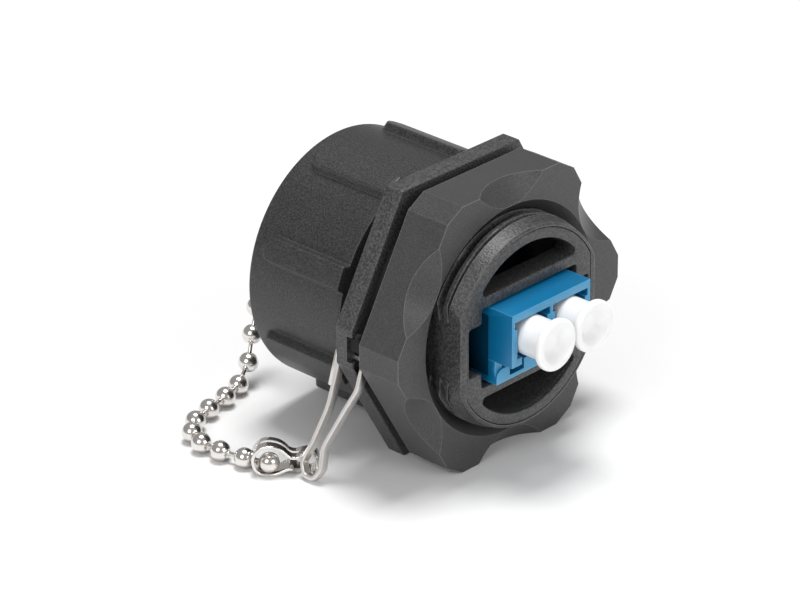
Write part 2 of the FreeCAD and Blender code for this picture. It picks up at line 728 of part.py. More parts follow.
def floor_chain():
    count = len(FLOOR_BEADS) + 1
    for index in range(count):
        here = floor_bead(index)
        ways = []
        if index > 0:
            ways.append(toward(here, floor_bead(index - 1)))
        if index < count - 1:
            ways.append(toward(here, floor_bead(index + 1)))
        node(feature("bead_floor_%d" % index, bead(here, ways)), "chain_bead_%02d" % (index + 1))
        if index < count - 1:
            bar = rod(here, floor_bead(index + 1))
            node(feature("rod_floor_%d" % index, bar), "chain_rod_%02d" % (index + 1))


def hanging_chain():
    """Balls from the floor up to the eyelet; the first rod stops just short of the last floor ball."""
    offset = len(FLOOR_BEADS) + 1
    count = len(HANGING_BEADS)
    for index in range(count):
        here = hanging_bead(index)
        before = floor_bead(offset - 1) if index == 0 else hanging_bead(index - 1)
        after = eyelet_ball() if index == count - 1 else hanging_bead(index + 1)
        ways = [toward(here, before), toward(here, after)]
        node(feature("bead_up_%d" % index, bead(here, ways)), "chain_bead_%02d" % (offset + index + 1))
        bar = rod(here, before, knob_at_end=index > 0)
        node(feature("rod_up_%d" % index, bar), "chain_rod_%02d" % (offset + index))


def eyelet_ball():
    """Centre of the ball that the eyelet's arm carries, clear of the rivet's head."""
    reach = size("rivet_head") + size("bead_radius") + 0.2
    return Vector(number(EYELET_BACK) - size("bead_radius") - 0.1, -0.8 * reach, 0.6 * reach)


def chain_eyelet():
    """Swivel tag under the rivet's head; its arm ends in the ball that takes the chain's last rod."""
    back, thick = number(EYELET_BACK), size("eyelet_thick")
    along = Vector(1, 0, 0)
    ball = eyelet_ball()
    foot = Vector(back, ball.y, ball.z)
    tag = Part.makeCylinder(size("eyelet_radius"), thick, Vector(back, 0, 0), along)
    arm = Part.makeBox(thick, foot_length(ball), size("bead_radius"), Vector(back, 0, -0.5 * size("bead_radius")))
    arm.rotate(Vector(back, 0, 0), along, math.degrees(math.atan2(ball.z, ball.y)))
    pad = Part.makeCylinder(0.5 * size("bead_radius"), thick, foot, along)
    hole = Part.makeCylinder(size("rivet_shank") + size("screw_fit"), thick + 2, Vector(back - 1, 0, 0), along)
    neck = Part.makeCylinder(size("knob_radius"), back - ball.x, ball, along)
    inside = facet_ball(ball, size("bead_radius") - 0.5 * size("bead_wall"), Vector(0, 0, 1), BALL_SIDES, BALL_BANDS)
    cup = bead(ball, [toward(ball, hanging_bead(len(HANGING_BEADS) - 1))])
    tag = tag.fuse([arm, pad]).cut(hole).fuse(neck.cut(inside)).fuse(cup)
    node(feature("chain_eyelet", tag), "chain_eyelet")
    last = hanging_bead(len(HANGING_BEADS) - 1)
    node(feature("rod_eyelet", rod(last, ball)), "chain_rod_%02d" % (1 + len(FLOOR_BEADS) + len(HANGING_BEADS)))


def foot_length(ball):
    """Rivet's axis to the foot of the arm's ball."""
    return math.hypot(ball.y, ball.z)


# ---------------------------------------------------------------- ring link and clasp

def rounded_loop(corners, offset):
    """Closed wire round (u, v, radius) corners, moved outward by offset, with a tangent arc at each corner."""
    points = [Vector(u, v, 0) for u, v, _ in corners]
    count = len(points)
    turns = []
    for index, here in enumerate(points):
        incoming = toward(points[index - 1], here)
        outgoing = toward(here, points[(index + 1) % count])
        bend = math.atan2(incoming.cross(outgoing).z, incoming.dot(outgoing))
        bisector = Vector(-incoming.y - outgoing.y, incoming.x + outgoing.x, 0)
        bisector.normalize()
        moved = here - bisector * (offset / math.cos(0.5 * bend))
        radius = corners[index][2] + (offset if bend > 0 else -offset)
        run = radius * math.tan(0.5 * abs(bend))
        inward = bisector * (1 if bend > 0 else -1)
        middle = moved + inward * (radius / math.cos(0.5 * bend) - radius)
        turns.append((moved - incoming * run, middle, moved + outgoing * run))
    edges = []
    for index, (start, middle, end) in enumerate(turns):
        edges.append(Part.Arc(start, middle, end).toShape())
        edges.append(Part.LineSegment(end, turns[(index + 1) % count][0]).toShape())
    return Part.Wire(edges)


def loop_band(corners, thick, width, place):
    """Closed strip whose centre line goes anticlockwise round the corners, as wide as width."""
    prisms = []
    for offset in (0.5 * thick, -0.5 * thick):
        prism = Part.Face(rounded_loop(corners, offset)).extrude(Vector(0, 0, width))
        prism.translate(Vector(0, 0, -0.5 * width))
        prisms.append(prism)
    band = prisms[0].cut(prisms[1])
    band.transformShape(place)
    return band


def frame_matrix(first, second, third, origin):
    return FreeCAD.Matrix(first.x, second.x, third.x, origin.x, first.y, second.y, third.y, origin.y,
                          first.z, second.z, third.z, origin.z, 0, 0, 0, 1)


def link_hole():
    return Vector(0, -size("flange_corner") + size("link_hole_inset"), -size("link_hole_drop"))


def link_place():
    """Plane that the link hangs in: u along X, v downward, origin on the hole's axis."""
    lean = math.radians(LINK_LEAN)
    down = Vector(0, -math.sin(lean), -math.cos(lean))
    return frame_matrix(Vector(1, 0, 0), down, Vector(0, math.cos(lean), -math.sin(lean)), link_hole())


def link_top():
    """Centre line of the strip's top, which bears on the upper side of the hole."""
    inside = 0.5 * size("link_hole_bore") - size("seat_gap")
    return 0.5 * size("link_thick") - math.sqrt(inside ** 2 - (0.5 * size("link_wide")) ** 2)


def link_foot():
    """Outside of the link's foot, down the hanging plane, just clear of the surface."""
    drop = 0.5 * size("hex_width") - size("link_hole_drop") - size("link_foot_gap")
    return drop / math.cos(math.radians(LINK_LEAN))


def link_foot_point():
    """Foot of the link's eye seen from above."""
    return link_place().multVec(Vector(LINK_EYE_BACK, link_foot(), 0))


def ring_link():
    """Strip bent to a long drop with an eye at its foot; u runs along X and v down the hanging plane."""
    half = 0.5 * size("link_thick")
    top = link_top()
    foot = link_foot() - half
    back = -size("flange_thick") - half - size("link_play")
    seat = half + 0.25
    corners = [
        (back, top, 0.5),
        (seat, top, 0.5),
        (seat, 2.9, 3.0),
        (-0.6, 5.6, 6.0),
        (-2.5, foot - 3.95, 3.0),
        (-2.15, foot - 1.35, 1.2),
        (-2.9, foot, 0.8),
        (-4.3, foot, 0.8),
        (LINK_EYE_BACK, foot - 1.35, 1.2),
        (-4.1, foot - 4.15, 3.0),
        (back - 0.1, 6.0, 8.0),
    ]
    place = link_place()
    band = loop_band(corners, size("link_thick"), size("link_wide"), place)
    stub = Part.makeBox(size("link_thick"), size("link_lap"), size("link_wide"),
                        Vector(back - half - size("link_thick"), top, -0.5 * size("link_wide")))
    stub.transformShape(place)
    node(feature("ring_link", band.fuse(stub).removeSplitter()), "ring_link")


def chain_clasp():
    """Figure-of-eight band: the first lobe holds the chain's end ball, the second the ring link."""
    side = Vector(0.7237, 0.690, 0)
    along = Vector(0.690, -0.7237, 0)
    half = 0.5 * size("clasp_thick")
    low = -size("bead_radius") + half
    corners = [
        (-0.9, low, 0.9),
        (0.9, low, 0.9),
        (2.2, 0.1, 0.8),
        (3.4, -0.75, 1.0),
        (4.9, -0.85, 0.6),
        (5.45, 0.5, 0.6),
        (4.7, 1.55, 0.6),
        (2.5, 0.95, 1.5),
        (0.9, 2.45, 0.9),
        (-0.7, 2.45, 0.9),
        (-1.55, 1.1, 0.9),
        (-1.55, -0.1, 0.6),
    ]
    place = frame_matrix(side, Vector(0, 0, 1), along, clasp_centre())
    band = loop_band(corners, size("clasp_thick"), size("clasp_wide"), place)
    ball = floor_bead(0)
    rod_slot = Part.makeCylinder(size("rod_radius") + 0.3, 3, ball, toward(ball, floor_bead(1)))
    room = 0.5 * size("link_wide") + size("clasp_slot_play")
    link_slot = Part.makeBox(1.9, 6, 2 * room, Vector(LINK_EYE_BACK - 0.55, link_foot() - 5.3, -room))
    link_slot.transformShape(link_place())
    node(feature("chain_clasp", band.cut([rod_slot, link_slot])), "chain_clasp")


# ---------------------------------------------------------------- build and write

def check_document():
    for thing in doc.Objects:
        if "Invalid" in thing.State or "Error" in thing.State:
            raise RuntimeError("%s failed: %s" % (thing.Label, thing.State))
    for thing in NODES:
        if thing.Shape.isNull() or not thing.Shape.isValid():
            raise RuntimeError("%s has no valid shape" % thing.Label)


def write_nodes():
    os.makedirs("parts", exist_ok=True)
    for thing in NODES:
        thing.Shape.exportStep("parts/%s.step" % thing.Label)
        solids = len(thing.Shape.Solids)
        print("%-16s solids %d volume %9.3f" % (thing.Label, solids, thing.Shape.Volume))


socket_body()
panel_gasket()
lock_nut()
adapter()
adapter_clip()
for plug, side in (("dust_plug_left", -1), ("dust_plug_right", 1)):
    dust_plug(plug, side)
screw_cap()
cap_rivet()
floor_chain()
hanging_chain()
chain_eyelet()
ring_link()
chain_clasp()
doc.recompute()
check_document()
write_nodes()
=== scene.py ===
import json
import math

import bmesh
import bpy
from bpy.props import FloatProperty, FloatVectorProperty, IntProperty, PointerProperty
from mathutils import Matrix, Vector


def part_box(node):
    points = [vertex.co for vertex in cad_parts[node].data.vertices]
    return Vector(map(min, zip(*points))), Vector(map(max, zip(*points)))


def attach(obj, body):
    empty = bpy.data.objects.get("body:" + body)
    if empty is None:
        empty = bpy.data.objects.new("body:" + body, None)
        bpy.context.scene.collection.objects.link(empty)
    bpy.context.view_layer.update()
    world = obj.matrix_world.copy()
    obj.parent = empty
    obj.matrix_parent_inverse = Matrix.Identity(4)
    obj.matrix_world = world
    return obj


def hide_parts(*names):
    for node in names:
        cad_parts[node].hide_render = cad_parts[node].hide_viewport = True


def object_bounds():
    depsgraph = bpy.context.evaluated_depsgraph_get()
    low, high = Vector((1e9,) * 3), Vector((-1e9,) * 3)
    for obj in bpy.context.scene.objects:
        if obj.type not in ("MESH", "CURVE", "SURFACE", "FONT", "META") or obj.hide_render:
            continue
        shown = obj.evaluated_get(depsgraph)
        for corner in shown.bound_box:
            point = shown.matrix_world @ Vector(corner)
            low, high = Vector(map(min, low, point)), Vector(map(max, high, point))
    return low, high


bl_info = {
    "name": "Waterproof fibre panel adapter",
    "version": (1, 0, 0),
    "blender": (4, 5, 0),
    "location": "3D View > Sidebar > Panel Adapter",
    "description": "Detailed pieces and finishes for a waterproof duplex fibre panel adapter",
    "category": "Object",
}

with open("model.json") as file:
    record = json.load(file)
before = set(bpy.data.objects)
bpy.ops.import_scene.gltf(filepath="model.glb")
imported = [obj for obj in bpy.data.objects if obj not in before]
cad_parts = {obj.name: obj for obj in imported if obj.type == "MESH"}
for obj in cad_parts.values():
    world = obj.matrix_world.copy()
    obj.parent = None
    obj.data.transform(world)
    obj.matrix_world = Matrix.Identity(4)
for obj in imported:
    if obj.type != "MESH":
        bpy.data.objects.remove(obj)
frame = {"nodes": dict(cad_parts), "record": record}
CAD_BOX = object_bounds()
NODES = frame["nodes"]
BODY_OF = {node: body for body, nodes in frame["record"]["behaviour"]["bodies"].items() for node in nodes}
MM = 0.001

# Lengths below are millimetres in the part's own frame: X along the device axis, Z up.
AXIS_X, AXIS_Z = Vector((1, 0, 0)), Vector((0, 0, 1))


# --- what a user would change

def length(name, description, default):
    """A size in metres from a default in millimetres."""
    return FloatProperty(name=name, description=description, default=default * MM, unit="LENGTH", precision=5)


def bearing(name, description, degrees):
    return FloatProperty(name=name, description=description, default=math.radians(degrees), subtype="ANGLE")


def quantity(name, description, default):
    return FloatProperty(name=name, description=description, default=default, min=0)


def colour(name, description, default):
    return FloatVectorProperty(name=name, description=description, default=default, subtype="COLOR",
                               min=0, max=1)


class PanelAdapterSizes(bpy.types.PropertyGroup):
    front_pitch: length("Front thread pitch", "Rise of the lock nut's thread in one turn", 1.5)
    rear_pitch: length("Rear thread pitch", "Rise of the screw cap's thread in one turn", 2.0)
    thread_depth: length("Thread depth", "Crest to root, both barrels", 0.95)
    edge_round: length("Moulded edge", "Rounding along the edges of the black mouldings", 0.16)
    rib_height: length("Rib height", "How far the cap's grip ribs stand out", 1.0)
    rib_draft: length("Rib side", "Width of a rib's sloping side", 0.5)
    blue_edge: length("Adapter edge", "Rounding along the edges of the blue adapter", 0.12)
    ball_dimple: length("Ball dimple", "Depth of the drawn-in rim where a rod enters a ball", 0.16)
    turn_steps: IntProperty(name="Turn steps", description="Divisions round the barrels", default=240, min=48)


class PanelAdapterFinishes(bpy.types.PropertyGroup):
    black: colour("Black plastic", "Fine matt moulding of the socket, nut and cap", (0.022, 0.022, 0.0225))
    grained: colour("Grained black", "Coarser, paler moulding of the socket and nut", (0.038, 0.038, 0.0385))
    rubber: colour("Rubber", "Panel gasket and cap seal", (0.008, 0.008, 0.008))
    blue: colour("Blue plastic", "Duplex adapter", (0.002, 0.150, 0.33))
    # Colour of the painted highlight on the adapter's front face and edges, where the front light falls.
    blue_front_highlight: colour("Blue plastic, front", "Pale, etched front face of the adapter", (0.06, 0.30, 0.52))
    white: colour("White plastic", "Dust plugs", (0.90, 0.90, 0.90))
    ceramic: colour("Ceramic", "Ferrule sleeves", (0.85, 0.82, 0.74))
    nickel: colour("Nickel", "Ball chain, eyelet and clasp", (0.80, 0.77, 0.74))
    steel: colour("Satin steel", "Ring link, rivet and spring clip", (0.78, 0.755, 0.73))


class PanelAdapterStage(bpy.types.PropertyGroup):
    azimuth: bearing("Camera azimuth", "Round from the -Y side towards +X", 43.82)
    elevation: bearing("Camera elevation", "Above the floor's plane", 26.59)
    roll: bearing("Camera roll", "Tilt about the view direction", -0.36)
    distance: length("Camera distance", "From the aim point", 466.7)
    lens: FloatProperty(name="Lens", description="Focal length for a 36 mm sensor", default=186.03,
                        unit="CAMERA")
    aim: FloatVectorProperty(name="Aim point", description="What the camera looks at",
                             default=(-0.0049, -0.00495, -0.0005), subtype="TRANSLATION", unit="LENGTH",
                             precision=5)
    daylight: quantity("Room light", "Even light from all round", 0.34)
    key: quantity("Overhead light", "Strength of the light above and behind", 2.5)
    key_spread: bearing("Overhead spread", "Width of the overhead light in the sky", 24)
    left: quantity("Left softbox", "Power of the softbox on the ring link's side", 1.15)
    front: quantity("Front softbox", "Power of the softbox at the adapter's side", 1.05)
    floor_tone: FloatProperty(name="Floor tone", description="Paleness of the floor", default=0.8,
                              min=0, max=1)


# --- shader expressions

class Value:
    """An output socket that takes part in Python arithmetic; each operator adds one Math node."""

    def __init__(self, nodes, socket):
        self.nodes = nodes
        self.socket = socket

    def math(self, operation, first, second):
        return self.nodes.add("ShaderNodeMath", {"operation": operation}, {0: first, 1: second})

    def __add__(self, other):
        return self.math("ADD", self, other)

    def __sub__(self, other):
        return self.math("SUBTRACT", self, other)

    def __mul__(self, other):
        return self.math("MULTIPLY", self, other)

    def __rsub__(self, other):
        return self.math("SUBTRACT", other, self)

    def larger(self, other):
        return self.math("MAXIMUM", self, other)

    __radd__ = __add__
    __rmul__ = __mul__


class Nodes:
    """A node tree; add() makes any node from its type, settings and inputs, and gives back one output."""

    def __init__(self, tree):
        self.tree = tree

    def join(self, value, target):
        if isinstance(value, Value):
            self.tree.links.new(value.socket, target)
        else:
            target.default_value = value

    def add(self, kind, settings=None, inputs=None, output=0):
        node = self.tree.nodes.new(kind)
        for name, setting in (settings or {}).items():
            setattr(node, name, setting)
        for name, value in (inputs or {}).items():
            self.join(value, node.inputs[name])
        return None if output is None else Value(self, node.outputs[output])

    def ramp(self, value, low, high):
        """0 below low, 1 above high, straight between."""
        return self.add("ShaderNodeMapRange", inputs={"Value": value, "From Min": low, "From Max": high})

    def part(self, vector, axis):
        """One coordinate of a vector: 0, 1 or 2."""
        return self.add("ShaderNodeSeparateXYZ", inputs={"Vector": vector}, output=axis)

    def blend(self, factor, first, second):
        """One colour going over into another."""
        return self.add("ShaderNodeMix", {"data_type": "RGBA"}, {0: factor, 6: first, 7: second}, output=2)

    def edges(self, radius, full):
        """1 along edges rounded off by radius, 0 on the faces between them."""
        softened = self.add("ShaderNodeBevel", {"samples": 6}, {"Radius": radius * MM})
        flat = self.add("ShaderNodeNewGeometry", output="Normal")
        along = self.add("ShaderNodeVectorMath", {"operation": "DOT_PRODUCT"}, {0: softened, 1: flat}, 1)
        return self.ramp(1.0 - along, 0.01, full)


class Finish(Nodes):
    """A material built round one Principled shader."""

    def __init__(self, name, **constants):
        self.material = bpy.data.materials.new(name)
        self.material.use_nodes = True
        super().__init__(self.material.node_tree)
        self.shader = self.tree.nodes["Principled BSDF"]
        for socket, value in constants.items():
            self.shader.inputs[socket.replace("_", " ")].default_value = value
        self.place = self.add("ShaderNodeTexCoord", output="Object")

    def feed(self, socket, value):
        self.join(value, self.shader.inputs[socket])

    def noise(self, size, detail=2.0, vector=None):
        """Even noise with features of a size in millimetres."""
        return self.add("ShaderNodeTexNoise", inputs={
            "Vector": vector or self.place, "Scale": 1 / (size * MM), "Detail": detail})

    def clouded(self, base, size, dark, pale):
        """A colour that drifts between two shades of itself."""
        return self.blend(self.noise(size), tint(base, dark), tint(base, pale))

    def stretched(self, x, y, z):
        return self.add("ShaderNodeMapping", inputs={"Vector": self.place, "Scale": (x, y, z)})

    def bump(self, height, distance):
        self.feed("Normal", self.add("ShaderNodeBump", inputs={
            "Height": height, "Distance": distance * MM}))

    def sheen(self, grain, roughness, spread, depth):
        """Roughness and fine relief from one grain."""
        self.feed("Roughness", roughness + grain * spread)
        self.bump(grain, depth)


def tint(base, factor):
    return tuple(min(1.0, channel * factor) for channel in base) + (1.0,)


def moulded_black(name, base, grain_size=0.2, grain_depth=0.03, roughness=0.42, speckle=0.5):
    """Fine spark-eroded texture with faint clouding, and painted highlights along the edges."""
    finish = Finish(name, IOR=1.5)
    grain = finish.noise(grain_size, 3.0)
    # Painted highlight: a mask along the rounded edges, where light would catch them.
    edge_highlight = finish.edges(0.14, 0.12)
    body = finish.clouded(base, 3.0, 0.8, 1.2)
    speck = finish.blend(finish.ramp(grain, 0.38, 0.72), tint(base, 0.35), tint(base, 3.8))
    mixed = finish.blend(speckle, body, speck)
    # Painted highlight: the edges are blended towards a much paler tint of the base.
    finish.feed("Base Color", finish.blend(edge_highlight * 0.8, mixed, tint(base, 6.0)))
    finish.sheen(grain, roughness - 0.08, 0.16, grain_depth)
    return finish.material


def matt_rubber(name, base):
    finish = Finish(name, IOR=1.45)
    grain = finish.noise(0.12, 2.0)
    finish.feed("Base Color", finish.blend(grain, tint(base, 0.7), tint(base, 1.5)))
    finish.sheen(grain, 0.72, 0.2, 0.006)
    return finish.material


def satin_plastic(name, base, roughness=0.34, glow=0.0):
    """Smooth coloured moulding: faint clouding, soft sheen, slight rim light through the edges."""
    finish = Finish(name, IOR=1.5, Subsurface_Weight=glow, Subsurface_Radius=(0.0012, 0.0012, 0.0012))
    finish.feed("Base Color", finish.clouded(base, 1.8, 0.93, 1.07))
    finish.sheen(finish.noise(0.1, 1.0), roughness - 0.05, 0.1, 0.002)
    return finish.material


def adapter_blue(name, base, front):
    """The adapter's satin moulding with painted light: a painted highlight on the front face and edges, and
    painted shade in the side panels and inside the barrel.
    """
    finish = Finish(name, IOR=1.5)
    normal = finish.add("ShaderNodeNewGeometry", output="Normal")
    facing, upward = finish.part(normal, 0), finish.part(normal, 2)
    reach, height = finish.part(finish.place, 0), finish.part(finish.place, 2)
    panel_back, panel_front = PANEL_X[1] * MM - 0.0001, PANEL_X[1] * MM + 0.0001
    # Painted shade in the sunk side panels, behind the front web's plane, where the web shades the adapter's
    # side.
    panel_shade = finish.ramp(height, -0.0040, -0.0039) * (1.0 - finish.ramp(height, 0.0036, 0.0037))
    panel_shade = panel_shade * (1.0 - finish.ramp(reach, panel_back, panel_front))
    # Painted shade inside the barrel: the lit colour stops past the web, except on top faces, which keep it a
    # little further in.
    on_top = finish.ramp(upward, 0.5, 0.8) * finish.ramp(reach, 0.0066, 0.0075)
    outside = finish.ramp(reach, 0.0072, 0.0088).larger(on_top) * (1.0 - panel_shade * 0.85)
    moulding = finish.clouded(base, 1.8, 0.93, 1.07)
    # Painted highlight: faces turned to the front take the paler front colour.
    lit = finish.blend(finish.ramp(facing, 0.3, 0.9), moulding, tint(front, 1.0))
    # Painted highlight along the rounded edges, paler still.
    lit = finish.blend(finish.edges(0.16, 0.14) * 0.7, lit, tint(front, 1.5))
    # Painted shade inside the barrel, near black deepest in and less dark towards the web.
    shaded = finish.blend(finish.ramp(reach, 0.0060, 0.0082), tint(base, 0.02), tint(base, 0.25))
    finish.feed("Base Color", finish.blend(outside, shaded, lit))
    finish.sheen(finish.noise(0.1, 1.0), 0.3, 0.1, 0.002)
    return finish.material


def bright_metal(name, base, roughness=0.14):
    """Plated metal with faint handling haze."""
    finish = Finish(name, Metallic=1.0)
    haze = finish.noise(0.7, 3.0)
    finish.feed("Base Color", finish.blend(haze, tint(base, 0.94), tint(base, 1.04)))
    finish.feed("Roughness", roughness + haze * 0.1)
    finish.bump(finish.noise(0.08, 1.0), 0.0012)
    return finish.material


def brushed_metal(name, base):
    """Satin strip with fine lines along its run."""
    finish = Finish(name, Metallic=1.0)
    lines = finish.noise(0.05, 2.0, finish.stretched(1.0, 0.06, 0.06))
    finish.feed("Base Color", finish.clouded(base, 1.2, 0.92, 1.05))
    finish.sheen(lines, 0.3, 0.14, 0.002)
    return finish.material


def material(slot):
    """The finish of a material slot, made once."""
    name = slot + "_finish"
    if name in bpy.data.materials:
        return bpy.data.materials[name]
    look = bpy.context.scene.panel_adapter_finishes
    makers = {
        "black_plastic": lambda: moulded_black(name, look.black),
        "black_grained": lambda: moulded_black(name, look.grained, 0.26, 0.06),
        "black_nut": lambda: moulded_black(name, look.grained, 0.13, 0.03, 0.4, 0.3),
        "black_rubber": lambda: matt_rubber(name, look.rubber),
        "blue_plastic": lambda: adapter_blue(name, look.blue, look.blue_front_highlight),
        "white_plastic": lambda: satin_plastic(name, look.white, 0.36, 0.15),
        "ceramic": lambda: satin_plastic(name, look.ceramic, 0.18),
        "chain_nickel": lambda: bright_metal(name, look.nickel),
        "link_steel": lambda: brushed_metal(name, look.steel),
        "spring_steel": lambda: bright_metal(name, look.steel, 0.22),
    }
    return makers[slot]()


# --- mesh helpers

def finished(obj):
    """Turns the object's modifiers into its mesh."""
    graph = bpy.context.evaluated_depsgraph_get()
    mesh = bpy.data.meshes.new_from_object(obj.evaluated_get(graph))
    old = obj.data
    obj.modifiers.clear()
    obj.data = mesh
    bpy.data.meshes.remove(old)
    return obj


def to_object(bm, name="form"):
    """An object from a bmesh in millimetres, still in millimetres."""
    bmesh.ops.recalc_face_normals(bm, faces=bm.faces)
    mesh = bpy.data.meshes.new(name)
    bm.to_mesh(mesh)
    bm.free()
    obj = bpy.data.objects.new(name, mesh)
    bpy.context.scene.collection.objects.link(obj)
    return obj


def drop(obj):
    mesh = obj.data
    bpy.data.objects.remove(obj)
    bpy.data.meshes.remove(mesh)


def boolean(target, tools, operation="DIFFERENCE"):
    """Cuts or joins tools into target, then removes them."""
    for tool in tools:
        modifier = target.modifiers.new("form", "BOOLEAN")
        modifier.operation = operation
        modifier.solver = "EXACT"
        modifier.object = tool
        finished(target)
        drop(tool)
    return target


def clean(obj, merge=0.002, flat=0.4):
    """Welds points and joins coplanar faces."""
    bm = bmesh.new()
    bm.from_mesh(obj.data)
    bmesh.ops.remove_doubles(bm, verts=bm.verts, dist=merge)
    bmesh.ops.dissolve_limit(bm, angle_limit=math.radians(flat), verts=bm.verts, edges=bm.edges)
    bm.to_mesh(obj.data)
    bm.free()
    return obj


def soften(obj, width, angle=28):
    """Rounds the edges sharper than angle."""
    modifier = obj.modifiers.new("round", "BEVEL")
    modifier.width = width
    modifier.segments = 2
    modifier.limit_method = "ANGLE"
    modifier.angle_limit = math.radians(angle)
    modifier.harden_normals = True
    modifier.miter_outer = "MITER_ARC"
    modifier.use_clamp_overlap = True
    for face in obj.data.polygons:
        face.use_smooth = True
    return finished(obj)


def merge(objects):
    """One object from several."""
    base = objects[0]
    bm = bmesh.new()
    for obj in objects:
        bm.from_mesh(obj.data)
    bm.to_mesh(base.data)
    bm.free()
    for obj in objects[1:]:
        drop(obj)
    return base


def piece(obj, name, slot, *nodes, finish=None, smooth=32):
    """Scales a shape from millimetres, gives it its finish and its body, and hides the nodes it stands for.
    """
    obj.name = name
    obj.data.name = name
    obj.data.transform(Matrix.Scale(MM, 4))
    obj.data.materials.clear()
    obj.data.materials.append(material(finish or slot))
    if smooth is not None:
        for face in obj.data.polygons:
            face.use_smooth = True
        obj.data.set_sharp_from_angle(angle=math.radians(smooth))
    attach(obj, BODY_OF[nodes[0]])
    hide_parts(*nodes)
    return obj


def dress(node, slot):
    """Gives a CAD node that is shown as it is its finish."""
    obj = NODES[node]
    if obj.material_slots:
        obj.material_slots[0].material = material(slot)
    else:
        obj.data.materials.append(material(slot))


def cad_copy(node):
    """A copy of a node's mesh in millimetres, welded and with its flat faces whole."""
    obj = bpy.data.objects.new(node + "_form", NODES[node].data.copy())
    bpy.context.scene.collection.objects.link(obj)
    obj.data.transform(Matrix.Scale(1 / MM, 4))
    return clean(obj, 0.003)


# --- form helpers

def around(items):
    """Each item with the one after it, and the last with the first."""
    return zip(items, items[1:] + items[:1])


def skin(bm, rings, loop=False):
    """Quads between rings of points; loop joins the last ring to the first."""
    made = [[bm.verts.new(point) for point in ring] for ring in rings]
    for low, high in around(made) if loop else zip(made, made[1:]):
        for (low_here, low_after), (high_here, high_after) in zip(around(low), around(high)):
            bm.faces.new((low_here, low_after, high_after, high_here))
    return made


def looped(rings):
    """Object from rings of points, the last ring joined to the first."""
    bm = bmesh.new()
    skin(bm, rings, loop=True)
    return to_object(bm)


def capped(rings):
    """Object from rings of points, with a face over each end."""
    bm = bmesh.new()
    made = skin(bm, rings)
    bm.faces.new(made[0])
    bm.faces.new(made[-1])
    return to_object(bm)


def full_turn(steps):
    """Even directions round a circle."""
    return [2 * math.pi * index / steps for index in range(steps)]


def on_circle(turn, radius, centre_u=0.0, centre_v=0.0):
    return Vector((centre_u + radius * math.cos(turn), centre_v + radius * math.sin(turn)))


def fan(start, end, steps, radius, centre_u=0.0, centre_v=0.0):
    """Points on a circle from one direction to another."""
    return [on_circle(start + (end - start) * step / steps, radius, centre_u, centre_v)
            for step in range(steps + 1)]


def polar(x, radius, turn):
    """Point at x, that far from the device axis, turned from +Y towards +Z."""
    return Vector((x, radius * math.cos(turn), radius * math.sin(turn)))


def turned(profile, steps):
    """Object turned about X from (x, radius) pairs, the first and last on the axis."""
    bm = bmesh.new()
    made = skin(bm, [[polar(x, radius, turn) for turn in full_turn(steps)] for x, radius in profile[1:-1]])
    for (x, _), ring in ((profile[0], made[0]), (profile[-1], made[-1])):
        tip = bm.verts.new((x, 0, 0))
        for here, after in around(ring):
            bm.faces.new((here, after, tip))
    return to_object(bm)


def arc(centre_x, centre_r, radius, start, end, steps=5):
    """Points of a turned profile round a corner, angles in degrees from +X towards outward."""
    return fan(math.radians(start), math.radians(end), steps, radius, centre_x, centre_r)


def rounded(corners, steps):
    """Closed outline of (u, v, radius) corners, each with a tangent arc."""
    points = []
    count = len(corners)
    for index, (u, v, radius) in enumerate(corners):
        here = Vector((u, v))
        before = Vector(corners[index - 1][:2])
        after = Vector(corners[(index + 1) % count][:2])
        incoming, outgoing = (here - before).normalized(), (after - here).normalized()
        bend = math.atan2(incoming.x * outgoing.y - incoming.y * outgoing.x, incoming.dot(outgoing))
        if radius <= 0 or abs(bend) < 1e-4:
            points.append(here)
            continue
        run = radius * math.tan(abs(bend) / 2)
        side = 1 if bend > 0 else -1
        centre = here - incoming * run + Vector((-incoming.y, incoming.x)) * (side * radius)
        spoke = (here - incoming * run) - centre
        points += [centre + Matrix.Rotation(bend * step / steps, 2) @ spoke for step in range(steps + 1)]
    return points


def inset(outline, amount):
    """Outline moved to its left by amount."""
    moved = []
    count = len(outline)
    for index, here in enumerate(outline):
        first = (here - outline[index - 1]).normalized()
        second = (outline[(index + 1) % count] - here).normalized()
        left_one, left_two = Vector((-first.y, first.x)), Vector((-second.y, second.x))
        moved.append(here + (left_one + left_two) * (amount / (1 + left_one.dot(left_two))))
    return moved


def plate(edge, holes, low, high, edge_round):
    """Plate square to X between low and high, from outlines in (y, z), every edge rounded."""
    bm = bmesh.new()
    rows = []
    for step in range(4):
        angle = math.radians(30 * step)
        rows.append((low + edge_round * (1 - math.sin(angle)), edge_round * (1 - math.cos(angle))))
    rows = rows[::-1] + [(high + low - x, amount) for x, amount in rows]
    first_edges, last_edges = [], []
    for outline in [edge] + [hole[::-1] for hole in holes]:
        rings = [[Vector((x, p.x, p.y)) for p in inset(outline, amount)] for x, amount in rows]
        made = skin(bm, rings)
        for ring, edges in ((made[0], first_edges), (made[-1], last_edges)):
            edges += [bm.edges.get(pair) for pair in around(ring)]
    for edges in (first_edges, last_edges):
        bmesh.ops.triangle_fill(bm, use_beauty=True, use_dissolve=False, edges=edges)
    return to_object(bm)


def flatted(radius, turn, flats):
    """Radius in one direction of a circle that two flats cut."""
    return min(radius, flats / max(abs(math.cos(turn)), 1e-6))


def circle(radius, steps, y=0.0, z=0.0, flats=None):
    """Outline round the axis, cut by two flats at y = -flats and y = flats where given."""
    return [on_circle(turn, flatted(radius, turn, flats) if flats else radius, y, z)
            for turn in full_turn(steps)]


